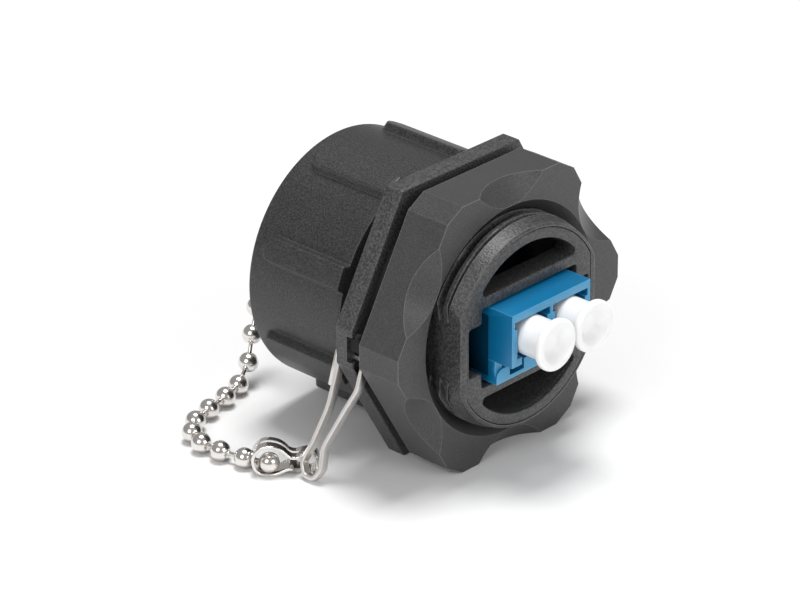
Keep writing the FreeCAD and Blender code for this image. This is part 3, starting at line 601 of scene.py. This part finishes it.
def half_moon(radius, chord, corner, side):
    """Segment of a disc beyond a chord, with rounded corners; side is +1 above, -1 below."""
    inner = radius - corner
    level = chord + corner
    reach = math.sqrt(inner ** 2 - level ** 2)
    spread = math.atan2(level, reach)
    points = fan(spread, math.pi - spread, 48, radius)
    for centre, start, end in ((-reach, math.pi - spread, 1.5 * math.pi),
                               (reach, 1.5 * math.pi, 2 * math.pi + spread)):
        points += fan(start, end, 8, corner, centre, level)[1:]
    return points if side > 0 else [-point for point in points]


def block(low, high):
    """Box between two corners."""
    bm = bmesh.new()
    bmesh.ops.create_cube(bm, size=1.0)
    for vert in bm.verts:
        for axis in range(3):
            vert.co[axis] = low[axis] if vert.co[axis] < 0 else high[axis]
    return to_object(bm)


def laid_block(low, high, place):
    """Box between two corners given in a place's own directions."""
    obj = block(low, high)
    obj.data.transform(place)
    return obj


def rod(start, way, profile, steps):
    """Object turned about a line from (distance, radius) pairs, with a face over each end."""
    way = Vector(way).normalized()
    side = way.orthogonal().normalized()
    up = way.cross(side)
    return capped([[start + way * distance + (side * math.cos(turn) + up * math.sin(turn)) * radius
                    for turn in full_turn(steps)] for distance, radius in profile])


def bar(start, way, reach, radius, steps):
    """Round bar from start along way."""
    return rod(start, way, [(0, radius), (reach, radius)], steps)


def eased(corners, passes=4):
    """Closed line that runs smoothly inside its corners."""
    line = [Vector(corner) for corner in corners]
    for _ in range(passes):
        line = [here.lerp(after, share) for here, after in around(line) for share in (0.25, 0.75)]
    return line


def swept_strip(line, place, thick, width, edge_round):
    """Closed strip along a closed line of (u, v) points, laid in space by place."""
    half_t, half_w = thick / 2, width / 2
    section = []
    for corner_t, corner_w, start in ((1, 1, 0), (-1, 1, 90), (-1, -1, 180), (1, -1, 270)):
        section += fan(math.radians(start), math.radians(start + 90), 3, edge_round,
                       corner_t * (half_t - edge_round), corner_w * (half_w - edge_round))
    rings = []
    count = len(line)
    for index, here in enumerate(line):
        run = (line[(index + 1) % count] - line[index - 1]).normalized()
        out = Vector((run.y, -run.x))
        rings.append([place @ Vector((here.x + out.x * t, here.y + out.y * t, w)) for t, w in section])
    return looped(rings)


def smooth_step(low, high, value):
    share = min(1.0, max(0.0, (value - low) / (high - low)))
    return share * share * (3 - 2 * share)


def thread_height(x, turn, pitch, start):
    """Share of the thread's depth at a place on a barrel: 1 on the crest, 0 in the root."""
    phase = (x - start) / pitch - turn / (2 * math.pi)
    return smooth_step(0.18, 0.78, 0.5 + 0.5 * math.cos(2 * math.pi * phase))


# --- socket

CREST = 12.5
BORE = 10.3
FLAT_SIDE = 11.1
FLANGE_BACK = -2.5
FRONT_FACE = 10.3
WEB_BACK = 7.3
REAR_RIM = -16.1
FRONT_CREST = 7.3
COLLAR = 8.4
FACE_RADIUS = 12.0
FACE_GROOVE = 11.66
CORNER_CUT = 17.73
HEX_HALF = 16.5
BULKHEAD = (-2.5, -0.5)
BULKHEAD_WINDOW = (6.65, 4.8)
FLANGE_BORE = 12.0
LINK_HOLE = Vector((0, -16.28, -2.2))
LINK_HOLE_RADIUS = 1.05
NOTCH_BACK, NOTCH_REACH, NOTCH_Z = -0.85, 1.6, (-1.7, 1.5)
THREAD_ROWS = 84


def front_barrel(sizes):
    """Threaded barrel with two flats; the thread ends at a plain collar that narrows to the front face."""
    pitch, depth = sizes.front_pitch / MM, sizes.thread_depth / MM
    turns = full_turn(sizes.turn_steps)
    first, last = -0.4, FRONT_FACE - 0.14
    run_out = COLLAR - 0.2
    rings = []
    for row in range(THREAD_ROWS + 1):
        x = first + (last - first) * row / THREAD_ROWS
        narrowing = (CREST - FACE_RADIUS) * max(0.0, (x - COLLAR) / (FRONT_FACE - COLLAR))
        collar = CREST - depth + depth * smooth_step(run_out, COLLAR + 0.12, x) - narrowing
        ring = []
        for turn in turns:
            height = thread_height(x, turn, pitch, FRONT_CREST) if x < run_out else 0.0
            radius = max(CREST - depth * (1 - height), collar)
            ring.append(polar(x, flatted(radius, turn, FLAT_SIDE), turn))
        rings.append(ring)
    edge = [(FRONT_FACE - 0.04, FACE_RADIUS - 0.08, FLAT_SIDE - 0.1),
            (FRONT_FACE, FACE_RADIUS - 0.16, FLAT_SIDE - 0.2),
            (FRONT_FACE, FACE_GROOVE, FLAT_SIDE - 0.8),
            (FRONT_FACE - 0.5, FACE_GROOVE - 0.04, FLAT_SIDE - 0.82),
            (FRONT_FACE - 0.5, BORE, BORE - 0.3), (WEB_BACK, BORE, BORE),
            (-0.6, BORE, BORE), (-0.6, CREST - depth - 0.2, BORE + 0.4)]
    for x, radius, flats in edge:
        rings.append([polar(x, flatted(radius, turn, flats), turn) for turn in turns])
    return looped(rings)


def rear_barrel(sizes):
    """Threaded barrel that the screw cap runs on."""
    pitch, depth = sizes.rear_pitch / MM, sizes.thread_depth / MM
    turns = full_turn(sizes.turn_steps)
    first, last = REAR_RIM + 0.5, FLANGE_BACK + 0.1
    rings = []
    for row in range(THREAD_ROWS + 1):
        x = first + (last - first) * row / THREAD_ROWS
        fade = smooth_step(first, first + 0.8, x) * (1 - smooth_step(FLANGE_BACK - 2.6, FLANGE_BACK - 1.6, x))
        rings.append([polar(x, CREST - depth * (1 - fade * thread_height(x, turn, pitch, 0)), turn)
                      for turn in turns])
    inner = [(last, BORE), (REAR_RIM + 0.2, BORE), (REAR_RIM + 0.05, BORE + 0.05),
             (REAR_RIM, BORE + 0.2), (REAR_RIM, CREST - depth - 0.3), (REAR_RIM + 0.15, CREST - depth - 0.08)]
    rings += [[polar(x, radius, turn) for turn in turns] for x, radius in inner]
    return looped(rings)


def front_web():
    """Inner plate of the front barrel: two half moons and the stepped window of the adapter."""
    ear_y, ear_z, body_y, body_z = 9.85, 3.0, 7.8, 4.9
    quarter = [(body_y, body_z), (body_y, ear_z), (ear_y, ear_z)]
    window = quarter + [(y, -z) for y, z in quarter[::-1]]
    window += [(-y, -z) for y, z in quarter] + [(-y, z) for y, z in quarter[::-1]]
    window = rounded([(y, z, 0.3) for y, z in window[::-1]], 4)
    moons = [half_moon(BORE, 6.2, 0.55, side) for side in (1, -1)]
    face = circle(FACE_GROOVE - 0.08, 240, flats=FLAT_SIDE - 0.86)
    return plate(face, [window] + moons, WEB_BACK, FRONT_FACE, 0.14)


def bulkhead():
    """Wall behind the flange that holds the adapter's ears."""
    y, z = BULKHEAD_WINDOW
    window = rounded([(-y, -z, 0.3), (y, -z, 0.3), (y, z, 0.3), (-y, z, 0.3)], 3)
    return plate(circle(BORE + 0.3, 96), [window], *BULKHEAD, 0.1)


def flange_plate(sizes):
    """Hexagonal flange: one corner cut flat, with the link's hole and the gasket's notch."""
    corner = HEX_HALF * 2 / math.sqrt(3)
    cut_z = (corner - CORNER_CUT) * math.sqrt(3)
    edge = rounded([(y, z, 0.25) for y, z in (
        (corner, 0), (corner / 2, HEX_HALF), (-corner / 2, HEX_HALF), (-CORNER_CUT, cut_z),
        (-CORNER_CUT, -cut_z), (-corner / 2, -HEX_HALF), (corner / 2, -HEX_HALF))], 3)
    holes = [circle(FLANGE_BORE, 120), circle(LINK_HOLE_RADIUS, 40, LINK_HOLE.y, LINK_HOLE.z)]
    notch = block((NOTCH_BACK, -CORNER_CUT - 1, NOTCH_Z[0]), (1, -CORNER_CUT + NOTCH_REACH, NOTCH_Z[1]))
    return boolean(plate(edge, holes, FLANGE_BACK, 0.0, sizes.edge_round / MM), [notch])


class PANELADAPTER_OT_socket(bpy.types.Operator):
    """Socket body: hex flange, both threaded barrels, front web and inner wall"""

    bl_idname = "panel_adapter.socket"
    bl_label = "Socket body"

    def execute(self, context):
        sizes = context.scene.panel_adapter_sizes
        parts = [flange_plate(sizes), front_barrel(sizes), rear_barrel(sizes), front_web(), bulkhead()]
        piece(merge(parts), "socket_shell", "black_plastic", "socket_body", finish="black_grained")
        return {"FINISHED"}


# --- gasket and nut

NUT_BACK, NUT_FRONT, NUT_CORNER = 1.6, 7.5, 18.24
NUT_BORE = 12.56
MOUTH_FLARE = 1.35
SCALLOP_RADIUS, SCALLOP_BITE, SCALLOP_TILT = 9.0, 1.65, math.radians(51)
GASKET_ROUND = 0.12
PIP_CENTRE, PIP_RADIUS = (0.5, -17.2, 1.56), 0.42


class PANELADAPTER_OT_gasket(bpy.types.Operator):
    """Panel gasket between the flange and the lock nut"""

    bl_idname = "panel_adapter.gasket"
    bl_label = "Panel gasket"

    def execute(self, context):
        pip = bmesh.new()
        bmesh.ops.create_icosphere(pip, subdivisions=3, radius=PIP_RADIUS,
                                   matrix=Matrix.Translation(PIP_CENTRE))
        for face in pip.faces:
            face.smooth = True
        ring = merge([soften(cad_copy("panel_gasket"), GASKET_ROUND), to_object(pip)])
        piece(ring, "gasket_ring", "black_rubber", "panel_gasket", smooth=None)
        return {"FINISHED"}


class PANELADAPTER_OT_lock_nut(bpy.types.Operator):
    """Hexagonal lock nut with a finger scallop in each front edge"""

    bl_idname = "panel_adapter.lock_nut"
    bl_label = "Lock nut"

    def execute(self, context):
        sizes = context.scene.panel_adapter_sizes
        outline = []
        sector = math.radians(60)
        reach = (HEX_HALF - NUT_CORNER * math.cos(sector / 2)) / math.sin(sector / 2)
        for index in range(6):
            centre = on_circle(sector * index, NUT_CORNER)
            along = on_circle(sector * index + math.pi / 2, reach)
            outline += [centre - along, centre + along]
        nut = capped([[(x, p.x, p.y) for p in outline] for x in (NUT_BACK, NUT_FRONT)])
        tools = []
        inward = Vector((-math.sin(SCALLOP_TILT), 0, -math.cos(SCALLOP_TILT)))
        along = Vector((math.cos(SCALLOP_TILT), 0, -math.sin(SCALLOP_TILT)))
        centre = Vector((NUT_FRONT, 0, HEX_HALF)) - inward * (SCALLOP_RADIUS - SCALLOP_BITE)
        for index in range(6):
            turn = Matrix.Rotation(sector * index, 3, "X")
            tools.append(bar(turn @ (centre - along * 40), turn @ along, 80, SCALLOP_RADIUS, 160))
        bore = [(NUT_BACK - 1, 0), (NUT_BACK - 1, NUT_BORE), (NUT_FRONT - MOUTH_FLARE, NUT_BORE),
                (NUT_FRONT + 0.6, NUT_BORE + MOUTH_FLARE + 0.6), (NUT_FRONT + 0.6, 0)]
        tools.append(turned(bore, 160))
        boolean(nut, tools)
        soften(clean(nut, 0.004, 0.2), sizes.edge_round / MM, 24)
        piece(nut, "scalloped_nut", "black_plastic", "lock_nut", finish="black_nut", smooth=None)
        return {"FINISHED"}


# --- blue adapter and dust plugs

PORT_LINES = {"left": -3.125, "right": 3.125}
PORT_HEIGHT = 1.18
SIDE = 6.45
LIP_BACK, LIP_TOP, LUG_TOP, LUG_BACK, LUG_ROUND = 2.27, -1.8, -2.9, 1.6, 1.0
PANEL_X, PANEL_Z, PANEL_DEPTH = (6.0, 10.0), (-3.95, 3.6), 0.2
PLUG_FRONT, PLUG_BACK, PLUG_TIP = 17.4, 16.5, 5.9
PLUG_HEAD, PLUG_STEM, PLUG_HOLLOW = 3.07, 2.35, 1.6
PLUG_DISH = ((0.85, 1.5), (1.15, 1.2), (1.2, 1.0), (1.2, 0.4), (1.2, 0))


def side_details(obj):
    """Closes the slot over the lugs at both sides, rounds the lugs and sinks a panel in each side."""
    lug_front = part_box("adapter_front")[1].x / MM - LIP_BACK
    fill_front = lug_front - 0.3
    fills, cuts = [], []
    for side in (-1, 1):
        inner, outer = sorted((side * (SIDE - 1.2), side * SIDE))
        fills.append(block((lug_front - LUG_BACK - 0.1, inner, LUG_TOP - 0.1),
                           (fill_front, outer, LIP_TOP + 0.1)))
        inner, outer = sorted((side * (SIDE - PANEL_DEPTH), side * (SIDE + 0.5)))
        cuts.append(block((PANEL_X[0], inner, PANEL_Z[0]), (PANEL_X[1], outer, PANEL_Z[1])))
        corner = [(SIDE + 0.1, LUG_TOP - LUG_ROUND), (SIDE + 0.1, LUG_TOP + 0.1),
                  (SIDE - LUG_ROUND, LUG_TOP + 0.1)]
        corner += fan(math.pi / 2, 0, 6, LUG_ROUND, SIDE - LUG_ROUND, LUG_TOP - LUG_ROUND)
        cuts.append(capped([[(x, side * y, z) for y, z in corner] for x in (fill_front, lug_front + 0.1)]))
    boolean(obj, fills, "UNION")
    return clean(boolean(obj, cuts))


class PANELADAPTER_OT_fibre_adapter(bpy.types.Operator):
    """Duplex adapter: both blue halves, the spring clip and the ferrule sleeves"""

    bl_idname = "panel_adapter.fibre_adapter"
    bl_label = "Duplex adapter"

    def execute(self, context):
        sizes = context.scene.panel_adapter_sizes
        for node, name in (("adapter_front", "front_coupler"), ("adapter_rear", "rear_coupler")):
            form = cad_copy(node)
            if node == "adapter_front":
                form = side_details(form)
            piece(soften(form, sizes.blue_edge / MM), name, "blue_plastic", node, smooth=None)
        dress("adapter_clip", "spring_steel")
        for side in PORT_LINES:
            dress("sleeve_" + side, "ceramic")
        return {"FINISHED"}


class PANELADAPTER_OT_dust_plugs(bpy.types.Operator):
    """White dust plugs with a dished head and a hollow stem"""

    bl_idname = "panel_adapter.dust_plugs"
    bl_label = "Dust plugs"

    def execute(self, context):
        rest = PLUG_TIP + 7.4
        profile = [(rest, 0), (rest, PLUG_HOLLOW)]
        profile += arc(PLUG_TIP + 0.12, PLUG_HOLLOW + 0.12, 0.12, 270, 180, 3)
        profile += arc(PLUG_TIP + 0.3, PLUG_STEM - 0.3, 0.3, 180, 90)
        profile += arc(PLUG_BACK - 0.25, PLUG_STEM + 0.25, 0.25, 270, 360, 4)
        profile += arc(PLUG_BACK + 0.28, PLUG_HEAD - 0.28, 0.28, 180, 90)
        profile += arc(PLUG_FRONT - 0.36, PLUG_HEAD - 0.36, 0.36, 90, 0)
        profile += arc(PLUG_FRONT - 0.25, 2.42, 0.25, 0, -50, 4)
        profile += [(PLUG_FRONT - depth, radius) for depth, radius in PLUG_DISH]
        for side, line in PORT_LINES.items():
            obj = turned(profile, 96)
            obj.data.transform(Matrix.Translation((0, line, PORT_HEIGHT)))
            piece(obj, "plug_" + side, "white_plastic", "dust_plug_" + side, smooth=50)
        return {"FINISHED"}


# --- screw cap

CAP_RIM, CAP_END, CAP_RADIUS = -4.6, -19.15, 15.0
CAP_FLOOR = -17.15
RIBS = 8
RIB_TIP, RIB_HALF = -17.05, 1.45
CAP_EDGE = 0.4
RIVET_HOLE, RIVET_END = 1.05, CAP_END + 1.4
RIVET_HEAD = -19.75
RIVET_DOME = ((0.3, 1.86), (0.5, 1.6), (0.62, 1.15), (0.69, 0.6), (0.7, 0))


def cap_surface():
    """Outer rows of the cap as (x, radius), close together along the ribs' round ends."""
    rows = arc(CAP_END + CAP_EDGE, CAP_RADIUS - CAP_EDGE, CAP_EDGE, 180, 90, 6)
    rows += [(CAP_END + CAP_EDGE + 0.28 * step, CAP_RADIUS) for step in range(1, 5)]
    x = RIB_TIP - 0.5
    while x < RIB_TIP + RIB_HALF + 0.3:
        rows.append((x, CAP_RADIUS))
        x += 0.09
    while x < CAP_RIM - 0.5:
        rows.append((x, CAP_RADIUS))
        x += 1.1
    rows += [(CAP_RIM - 0.25, CAP_RADIUS), (CAP_RIM - 0.08, CAP_RADIUS - 0.05), (CAP_RIM, CAP_RADIUS - 0.25)]
    return rows


def cap_columns():
    """Directions round the cap, close together along the ribs' sides."""
    sector = 2 * math.pi / RIBS
    offsets = [0, 0.4, 0.75, 1.0, 1.1, 1.18, 1.26, 1.34, 1.42, 1.5, 1.58, 1.66, 1.74, 1.85, 2.05, 2.4, 2.9,
               3.5, 4.1, 4.8, 5.4]
    offsets = [-value for value in offsets[:0:-1]] + offsets
    columns = []
    for rib in range(RIBS):
        middle = math.pi / 2 + sector * (rib + 0.5)
        columns += [(middle + value / CAP_RADIUS, value) for value in offsets]
    return columns


class PANELADAPTER_OT_screw_cap(bpy.types.Operator):
    """Screw cap with eight grip ribs, its seal and the rivet in its end"""

    bl_idname = "panel_adapter.screw_cap"
    bl_label = "Screw cap"

    def execute(self, context):
        sizes = context.scene.panel_adapter_sizes
        draft = sizes.rib_draft / MM / 2
        height = sizes.rib_height / MM
        columns = cap_columns()
        rings = []
        for x, radius in cap_surface():
            ring = []
            for turn, sideways in columns:
                away = math.hypot(sideways, min(0.0, x - (RIB_TIP + RIB_HALF)))
                lift = 1 - smooth_step(RIB_HALF - draft, RIB_HALF + draft, away)
                ring.append(polar(x, radius + height * lift, turn))
            rings.append(ring)
        inner = [(CAP_RIM, NUT_BORE + 0.3)]
        inner += [(CAP_RIM - 0.3 - 0.4 * step, NUT_BORE) for step in range(26)]
        inner += [(CAP_FLOOR, NUT_BORE), (CAP_FLOOR, 0.4), (RIVET_END, 0.4), (RIVET_END, RIVET_HOLE),
                  (CAP_END, RIVET_HOLE), (CAP_END, 6.0), (CAP_END, 12.0)]
        rings += [[polar(x, radius, turn) for turn, _ in columns] for x, radius in inner]
        piece(looped(rings), "ribbed_cap", "black_plastic", "screw_cap", smooth=40)
        dress("cap_seal", "black_rubber")
        profile = [(RIVET_END, 0), (RIVET_END, 1.0), (RIVET_HEAD, 1.0), (RIVET_HEAD, 1.75)]
        profile += arc(RIVET_HEAD - 0.12, 1.78, 0.12, 0, 90, 3)
        profile += [(RIVET_HEAD - depth, radius) for depth, radius in RIVET_DOME]
        piece(turned(profile, 64), "rivet_head", "link_steel", "cap_rivet", smooth=40)
        return {"FINISHED"}


# --- ball chain

BALL = 1.2
ROD = 0.25
RIM_ANGLES = (0.20, 0.40)
ROD_HEAD = ((0.55, 1.4), (0.35, 1.4), (0.12, 1.15))  # depth inside a ball, share of the rod's radius
EYELET_BALL = Vector((-21.0, -2.64, 1.98))
EYELET_BACK = -19.7
CHAIN_BALLS = 15
LOOP_END = 9


def ball_centre(index):
    """Centre of a chain ball, 1 in the clasp to 15 by the eyelet."""
    if index > CHAIN_BALLS:
        return EYELET_BALL.copy()
    low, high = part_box("chain_bead_%02d" % index)
    return (low + high) / 2 / MM


def hollow_ball(centre, ways, dimple):
    """Drawn ball whose rim turns in where each rod enters."""
    bm = bmesh.new()
    bmesh.ops.create_icosphere(bm, subdivisions=4, radius=1.0)
    for vert in bm.verts:
        way = vert.co.normalized()
        radius = BALL
        for rod_way in ways:
            angle = math.acos(max(-1.0, min(1.0, way.dot(rod_way))))
            radius -= dimple * (1 - smooth_step(*RIM_ANGLES, angle))
        vert.co = centre + way * radius
    return to_object(bm)


def rod_between(start, end, stops_short):
    """Dumb-bell rod with its heads in two balls, or one that ends just outside the second."""
    span = (end - start).length
    head = [(BALL - depth, ROD * share) for depth, share in ROD_HEAD]
    profile = head + [(BALL + 0.1, ROD)]
    if stops_short:
        profile += [(span - BALL - 0.07, ROD)]
    else:
        profile += [(span - BALL - 0.12, ROD)] + [(span - reach, radius) for reach, radius in head[::-1]]
    return rod(start, end - start, profile, 20)


class PANELADAPTER_OT_ball_chain(bpy.types.Operator):
    """Ball chain from the clasp, over the floor and up to the eyelet"""

    bl_idname = "panel_adapter.ball_chain"
    bl_label = "Ball chain"

    def execute(self, context):
        dimple = context.scene.panel_adapter_sizes.ball_dimple / MM
        for index in range(1, CHAIN_BALLS + 1):
            here, after = ball_centre(index), ball_centre(index + 1)
            ways = [(after - here).normalized()]
            if index > 1:
                ways.append((ball_centre(index - 1) - here).normalized())
            ball = hollow_ball(here, ways, dimple)
            piece(ball, "chain_ball_%02d" % index, "chain_nickel", "chain_bead_%02d" % index, smooth=60)
            ends = (after, here, True) if index == LOOP_END else (here, after, False)
            piece(rod_between(*ends), "chain_link_%02d" % index, "chain_nickel",
                  "chain_rod_%02d" % index, smooth=40)
        return {"FINISHED"}


class PANELADAPTER_OT_eyelet(bpy.types.Operator):
    """Swivel tag under the rivet head, with the ball that takes the chain's end"""

    bl_idname = "panel_adapter.eyelet"
    bl_label = "Chain eyelet"

    def execute(self, context):
        dimple = context.scene.panel_adapter_sizes.ball_dimple / MM
        reach = math.hypot(EYELET_BALL.y, EYELET_BALL.z)
        lean = math.atan2(EYELET_BALL.z, EYELET_BALL.y)
        half, tag, neck_start = 0.6, 2.3, 0.9
        start = math.asin(half / tag)
        outline = fan(start, 2 * math.pi - start, 60, tag)
        outline += fan(-math.pi / 2, math.pi / 2, 12, half, reach)
        spin = Matrix.Rotation(lean, 2)
        tag_plate = plate([spin @ point for point in outline], [circle(1.06, 40)],
                          EYELET_BACK, EYELET_BACK + 0.5, 0.1)
        neck = bar(EYELET_BALL + AXIS_X * neck_start, AXIS_X,
                   EYELET_BACK + 0.1 - EYELET_BALL.x - neck_start, 0.42, 24)
        way = (ball_centre(CHAIN_BALLS) - EYELET_BALL).normalized()
        parts = [tag_plate, neck, hollow_ball(EYELET_BALL, [way], dimple)]
        piece(merge(parts), "eyelet_tag", "chain_nickel", "chain_eyelet", smooth=40)
        return {"FINISHED"}


# --- ring link and clasp

LINK_LEAN = math.radians(18.4)
LINK_THICK, LINK_WIDE, LINK_LAP = 0.5, 1.1, 4.2
CLASP_THICK, CLASP_WIDE = 0.35, 2.4
CLASP_CENTRE = Vector((-8.44, -22.60, -HEX_HALF + BALL))
CLASP_SIDE, CLASP_ALONG = Vector((0.7237, 0.690, 0)), Vector((0.690, -0.7237, 0))
SLOT_PLAY = 0.35


def basis(first, second, third, origin):
    """Matrix that lays u, v, w along three directions from an origin."""
    return Matrix.Translation(origin) @ Matrix((first, second, third)).transposed().to_4x4()


def link_place():
    down = Vector((0, -math.sin(LINK_LEAN), -math.cos(LINK_LEAN)))
    return basis(AXIS_X, down, Vector((0, math.cos(LINK_LEAN), -math.sin(LINK_LEAN))), LINK_HOLE)


class PANELADAPTER_OT_ring_link(bpy.types.Operator):
    """Strip bent to a long drop, hung in the flange's hole"""

    bl_idname = "panel_adapter.ring_link"
    bl_label = "Ring link"

    def execute(self, context):
        half = LINK_THICK / 2
        top = half - math.sqrt(1.0 - (LINK_WIDE / 2) ** 2)
        back = FLANGE_BACK - half - 0.2
        seat = half + 0.25
        corners = [(back, top, 0.5), (seat, top, 0.5), (seat, 2.9, 3.0), (-0.6, 5.6, 6.0), (-2.5, 10.6, 3.0),
                   (-2.15, 13.2, 1.2), (-2.9, 14.55, 0.8), (-4.3, 14.55, 0.8), (-5.15, 13.2, 1.2),
                   (-4.1, 10.4, 3.0), (back - 0.1, 6.0, 8.0)]
        place = link_place()
        strip = swept_strip(rounded(corners, 10), place, LINK_THICK, LINK_WIDE, 0.12)
        stub = laid_block((back - half - LINK_THICK, top, -LINK_WIDE / 2),
                          (back - half, top + LINK_LAP, LINK_WIDE / 2), place)
        piece(merge([strip, soften(stub, 0.12)]), "drop_link", "link_steel", "ring_link", smooth=40)
        return {"FINISHED"}


class PANELADAPTER_OT_clasp(bpy.types.Operator):
    """Figure-of-eight clasp that joins the chain's end ball to the ring link"""

    bl_idname = "panel_adapter.clasp"
    bl_label = "Chain clasp"

    def execute(self, context):
        low = -BALL + CLASP_THICK / 2
        corners = [(-0.75, low), (0.75, low), (1.9, -0.35), (2.7, -0.2), (3.4, -0.8), (4.6, -1.0),
                   (5.4, -0.5), (5.5, 0.7), (4.9, 1.5), (3.9, 1.4), (2.5, 0.95), (1.5, 2.1), (0.4, 2.55),
                   (-0.8, 2.5), (-1.65, 1.65), (-1.9, 0.6), (-1.5, -0.55)]
        place = basis(CLASP_SIDE, AXIS_Z, CLASP_ALONG, CLASP_CENTRE)
        band = swept_strip(eased(corners), place, CLASP_THICK, CLASP_WIDE, 0.1)
        first, second = ball_centre(1), ball_centre(2)
        room = LINK_WIDE / 2 + SLOT_PLAY
        rod_slot = bar(first, second - first, 3, ROD + 0.3, 32)
        link_slot = laid_block((-5.7, 9.5, -room), (-3.8, 15.5, room), link_place())
        top_slit = laid_block((-1.0, 0.8, -0.4), (3.3, 3.2, 0.1), place)
        boolean(band, [rod_slot, link_slot, top_slit])
        piece(band, "clasp_band", "chain_nickel", "chain_clasp", smooth=40)
        return {"FINISHED"}


# --- stage

FLOOR_HALF = 2.5
OVERHEAD_PLACE = (-0.07, 0.12, 0.98)
LEFT_PLACE, FRONT_PLACE, SOFTBOX = (0.10, -0.53, 0.36), (0.55, 0.02, 0.26), 0.3


def lamp(name, kind, power, place):
    """A lamp at a place, turned to the part."""
    light = bpy.data.lights.new(name, kind)
    light.energy = power
    obj = bpy.data.objects.new(name, light)
    bpy.context.scene.collection.objects.link(obj)
    obj.location = place
    obj.rotation_euler = (-Vector(place)).to_track_quat("-Z", "Y").to_euler()
    return light


class PANELADAPTER_OT_stage(bpy.types.Operator):
    """Pale floor, soft studio light and the camera"""

    bl_idname = "panel_adapter.stage"
    bl_label = "Stage"

    def execute(self, context):
        stage = context.scene.panel_adapter_stage
        bm = bmesh.new()
        bmesh.ops.create_grid(bm, x_segments=8, y_segments=8, size=FLOOR_HALF,
                              matrix=Matrix.Translation((0, 0, CAD_BOX[0][2])))
        floor = to_object(bm, "floor")
        paper = bpy.data.materials.new("pale_floor")
        nodes = self.empty(paper)
        card = nodes.add("ShaderNodeBsdfDiffuse", inputs={"Color": (stage.floor_tone,) * 3 + (1.0,)})
        nodes.add("ShaderNodeOutputMaterial", inputs={"Surface": card}, output=None)
        floor.data.materials.append(paper)
        self.room(context, stage)
        lamp("overhead_light", "SUN", stage.key, OVERHEAD_PLACE).angle = stage.key_spread
        lamp("left_softbox", "AREA", stage.left, LEFT_PLACE).size = SOFTBOX
        lamp("front_softbox", "AREA", stage.front, FRONT_PLACE).size = SOFTBOX
        self.camera(context, stage)
        context.scene.view_settings.view_transform = "Standard"
        return {"FINISHED"}

    def empty(self, owner):
        """Cleared node tree of a material or world."""
        owner.use_nodes = True
        owner.node_tree.nodes.clear()
        return Nodes(owner.node_tree)

    def room(self, context, stage):
        world = bpy.data.worlds.new("white_room")
        nodes = self.empty(world)
        seen = nodes.add("ShaderNodeLightPath", output="Is Camera Ray")
        sky = nodes.add("ShaderNodeBackground", inputs={
            "Color": (1.0, 1.0, 1.0, 1.0), "Strength": stage.daylight + seen * (1.0 - stage.daylight)})
        nodes.add("ShaderNodeOutputWorld", inputs={"Surface": sky}, output=None)
        context.scene.world = world

    def camera(self, context, stage):
        view = bpy.data.cameras.new("camera")
        view.lens = stage.lens
        view.sensor_width = 36.0
        view.clip_start, view.clip_end = 0.01, 20.0
        obj = bpy.data.objects.new("camera", view)
        context.scene.collection.objects.link(obj)
        level = math.cos(stage.elevation)
        back = Vector((math.sin(stage.azimuth) * level, -math.cos(stage.azimuth) * level,
                       math.sin(stage.elevation)))
        right = AXIS_Z.cross(back).normalized()
        right = Matrix.Rotation(stage.roll, 3, back) @ right
        up = back.cross(right)
        obj.matrix_world = basis(right, up, back, Vector(stage.aim) + back * stage.distance)
        context.scene.camera = obj


# --- panel and registration

OPERATORS = (
    PANELADAPTER_OT_stage,
    PANELADAPTER_OT_socket,
    PANELADAPTER_OT_gasket,
    PANELADAPTER_OT_lock_nut,
    PANELADAPTER_OT_fibre_adapter,
    PANELADAPTER_OT_dust_plugs,
    PANELADAPTER_OT_screw_cap,
    PANELADAPTER_OT_ball_chain,
    PANELADAPTER_OT_eyelet,
    PANELADAPTER_OT_ring_link,
    PANELADAPTER_OT_clasp,
)


class PANELADAPTER_PT_sidebar(bpy.types.Panel):
    """Sizes, finishes and the pieces of the panel adapter"""

    bl_idname = "PANELADAPTER_PT_sidebar"
    bl_label = "Panel Adapter"
    bl_space_type = "VIEW_3D"
    bl_region_type = "UI"
    bl_category = "Panel Adapter"

    def draw(self, context):
        for operator in OPERATORS:
            self.layout.operator(operator.bl_idname)
        for group_name, group in GROUPS.items():
            box = self.layout.box()
            for name in group.__annotations__:
                box.prop(getattr(context.scene, group_name), name)


GROUPS = {
    "panel_adapter_sizes": PanelAdapterSizes,
    "panel_adapter_finishes": PanelAdapterFinishes,
    "panel_adapter_stage": PanelAdapterStage,
}


def register():
    for name, group in GROUPS.items():
        bpy.utils.register_class(group)
        setattr(bpy.types.Scene, name, PointerProperty(type=group))
    for operator in OPERATORS:
        bpy.utils.register_class(operator)
    bpy.utils.register_class(PANELADAPTER_PT_sidebar)


def unregister():
    bpy.utils.unregister_class(PANELADAPTER_PT_sidebar)
    for operator in reversed(OPERATORS):
        bpy.utils.unregister_class(operator)
    for name, group in GROUPS.items():
        delattr(bpy.types.Scene, name)
        bpy.utils.unregister_class(group)


def main():
    register()
    for operator in OPERATORS:
        getattr(bpy.ops.panel_adapter, operator.bl_idname.partition(".")[2])()


if __name__ == "__main__":
    main()
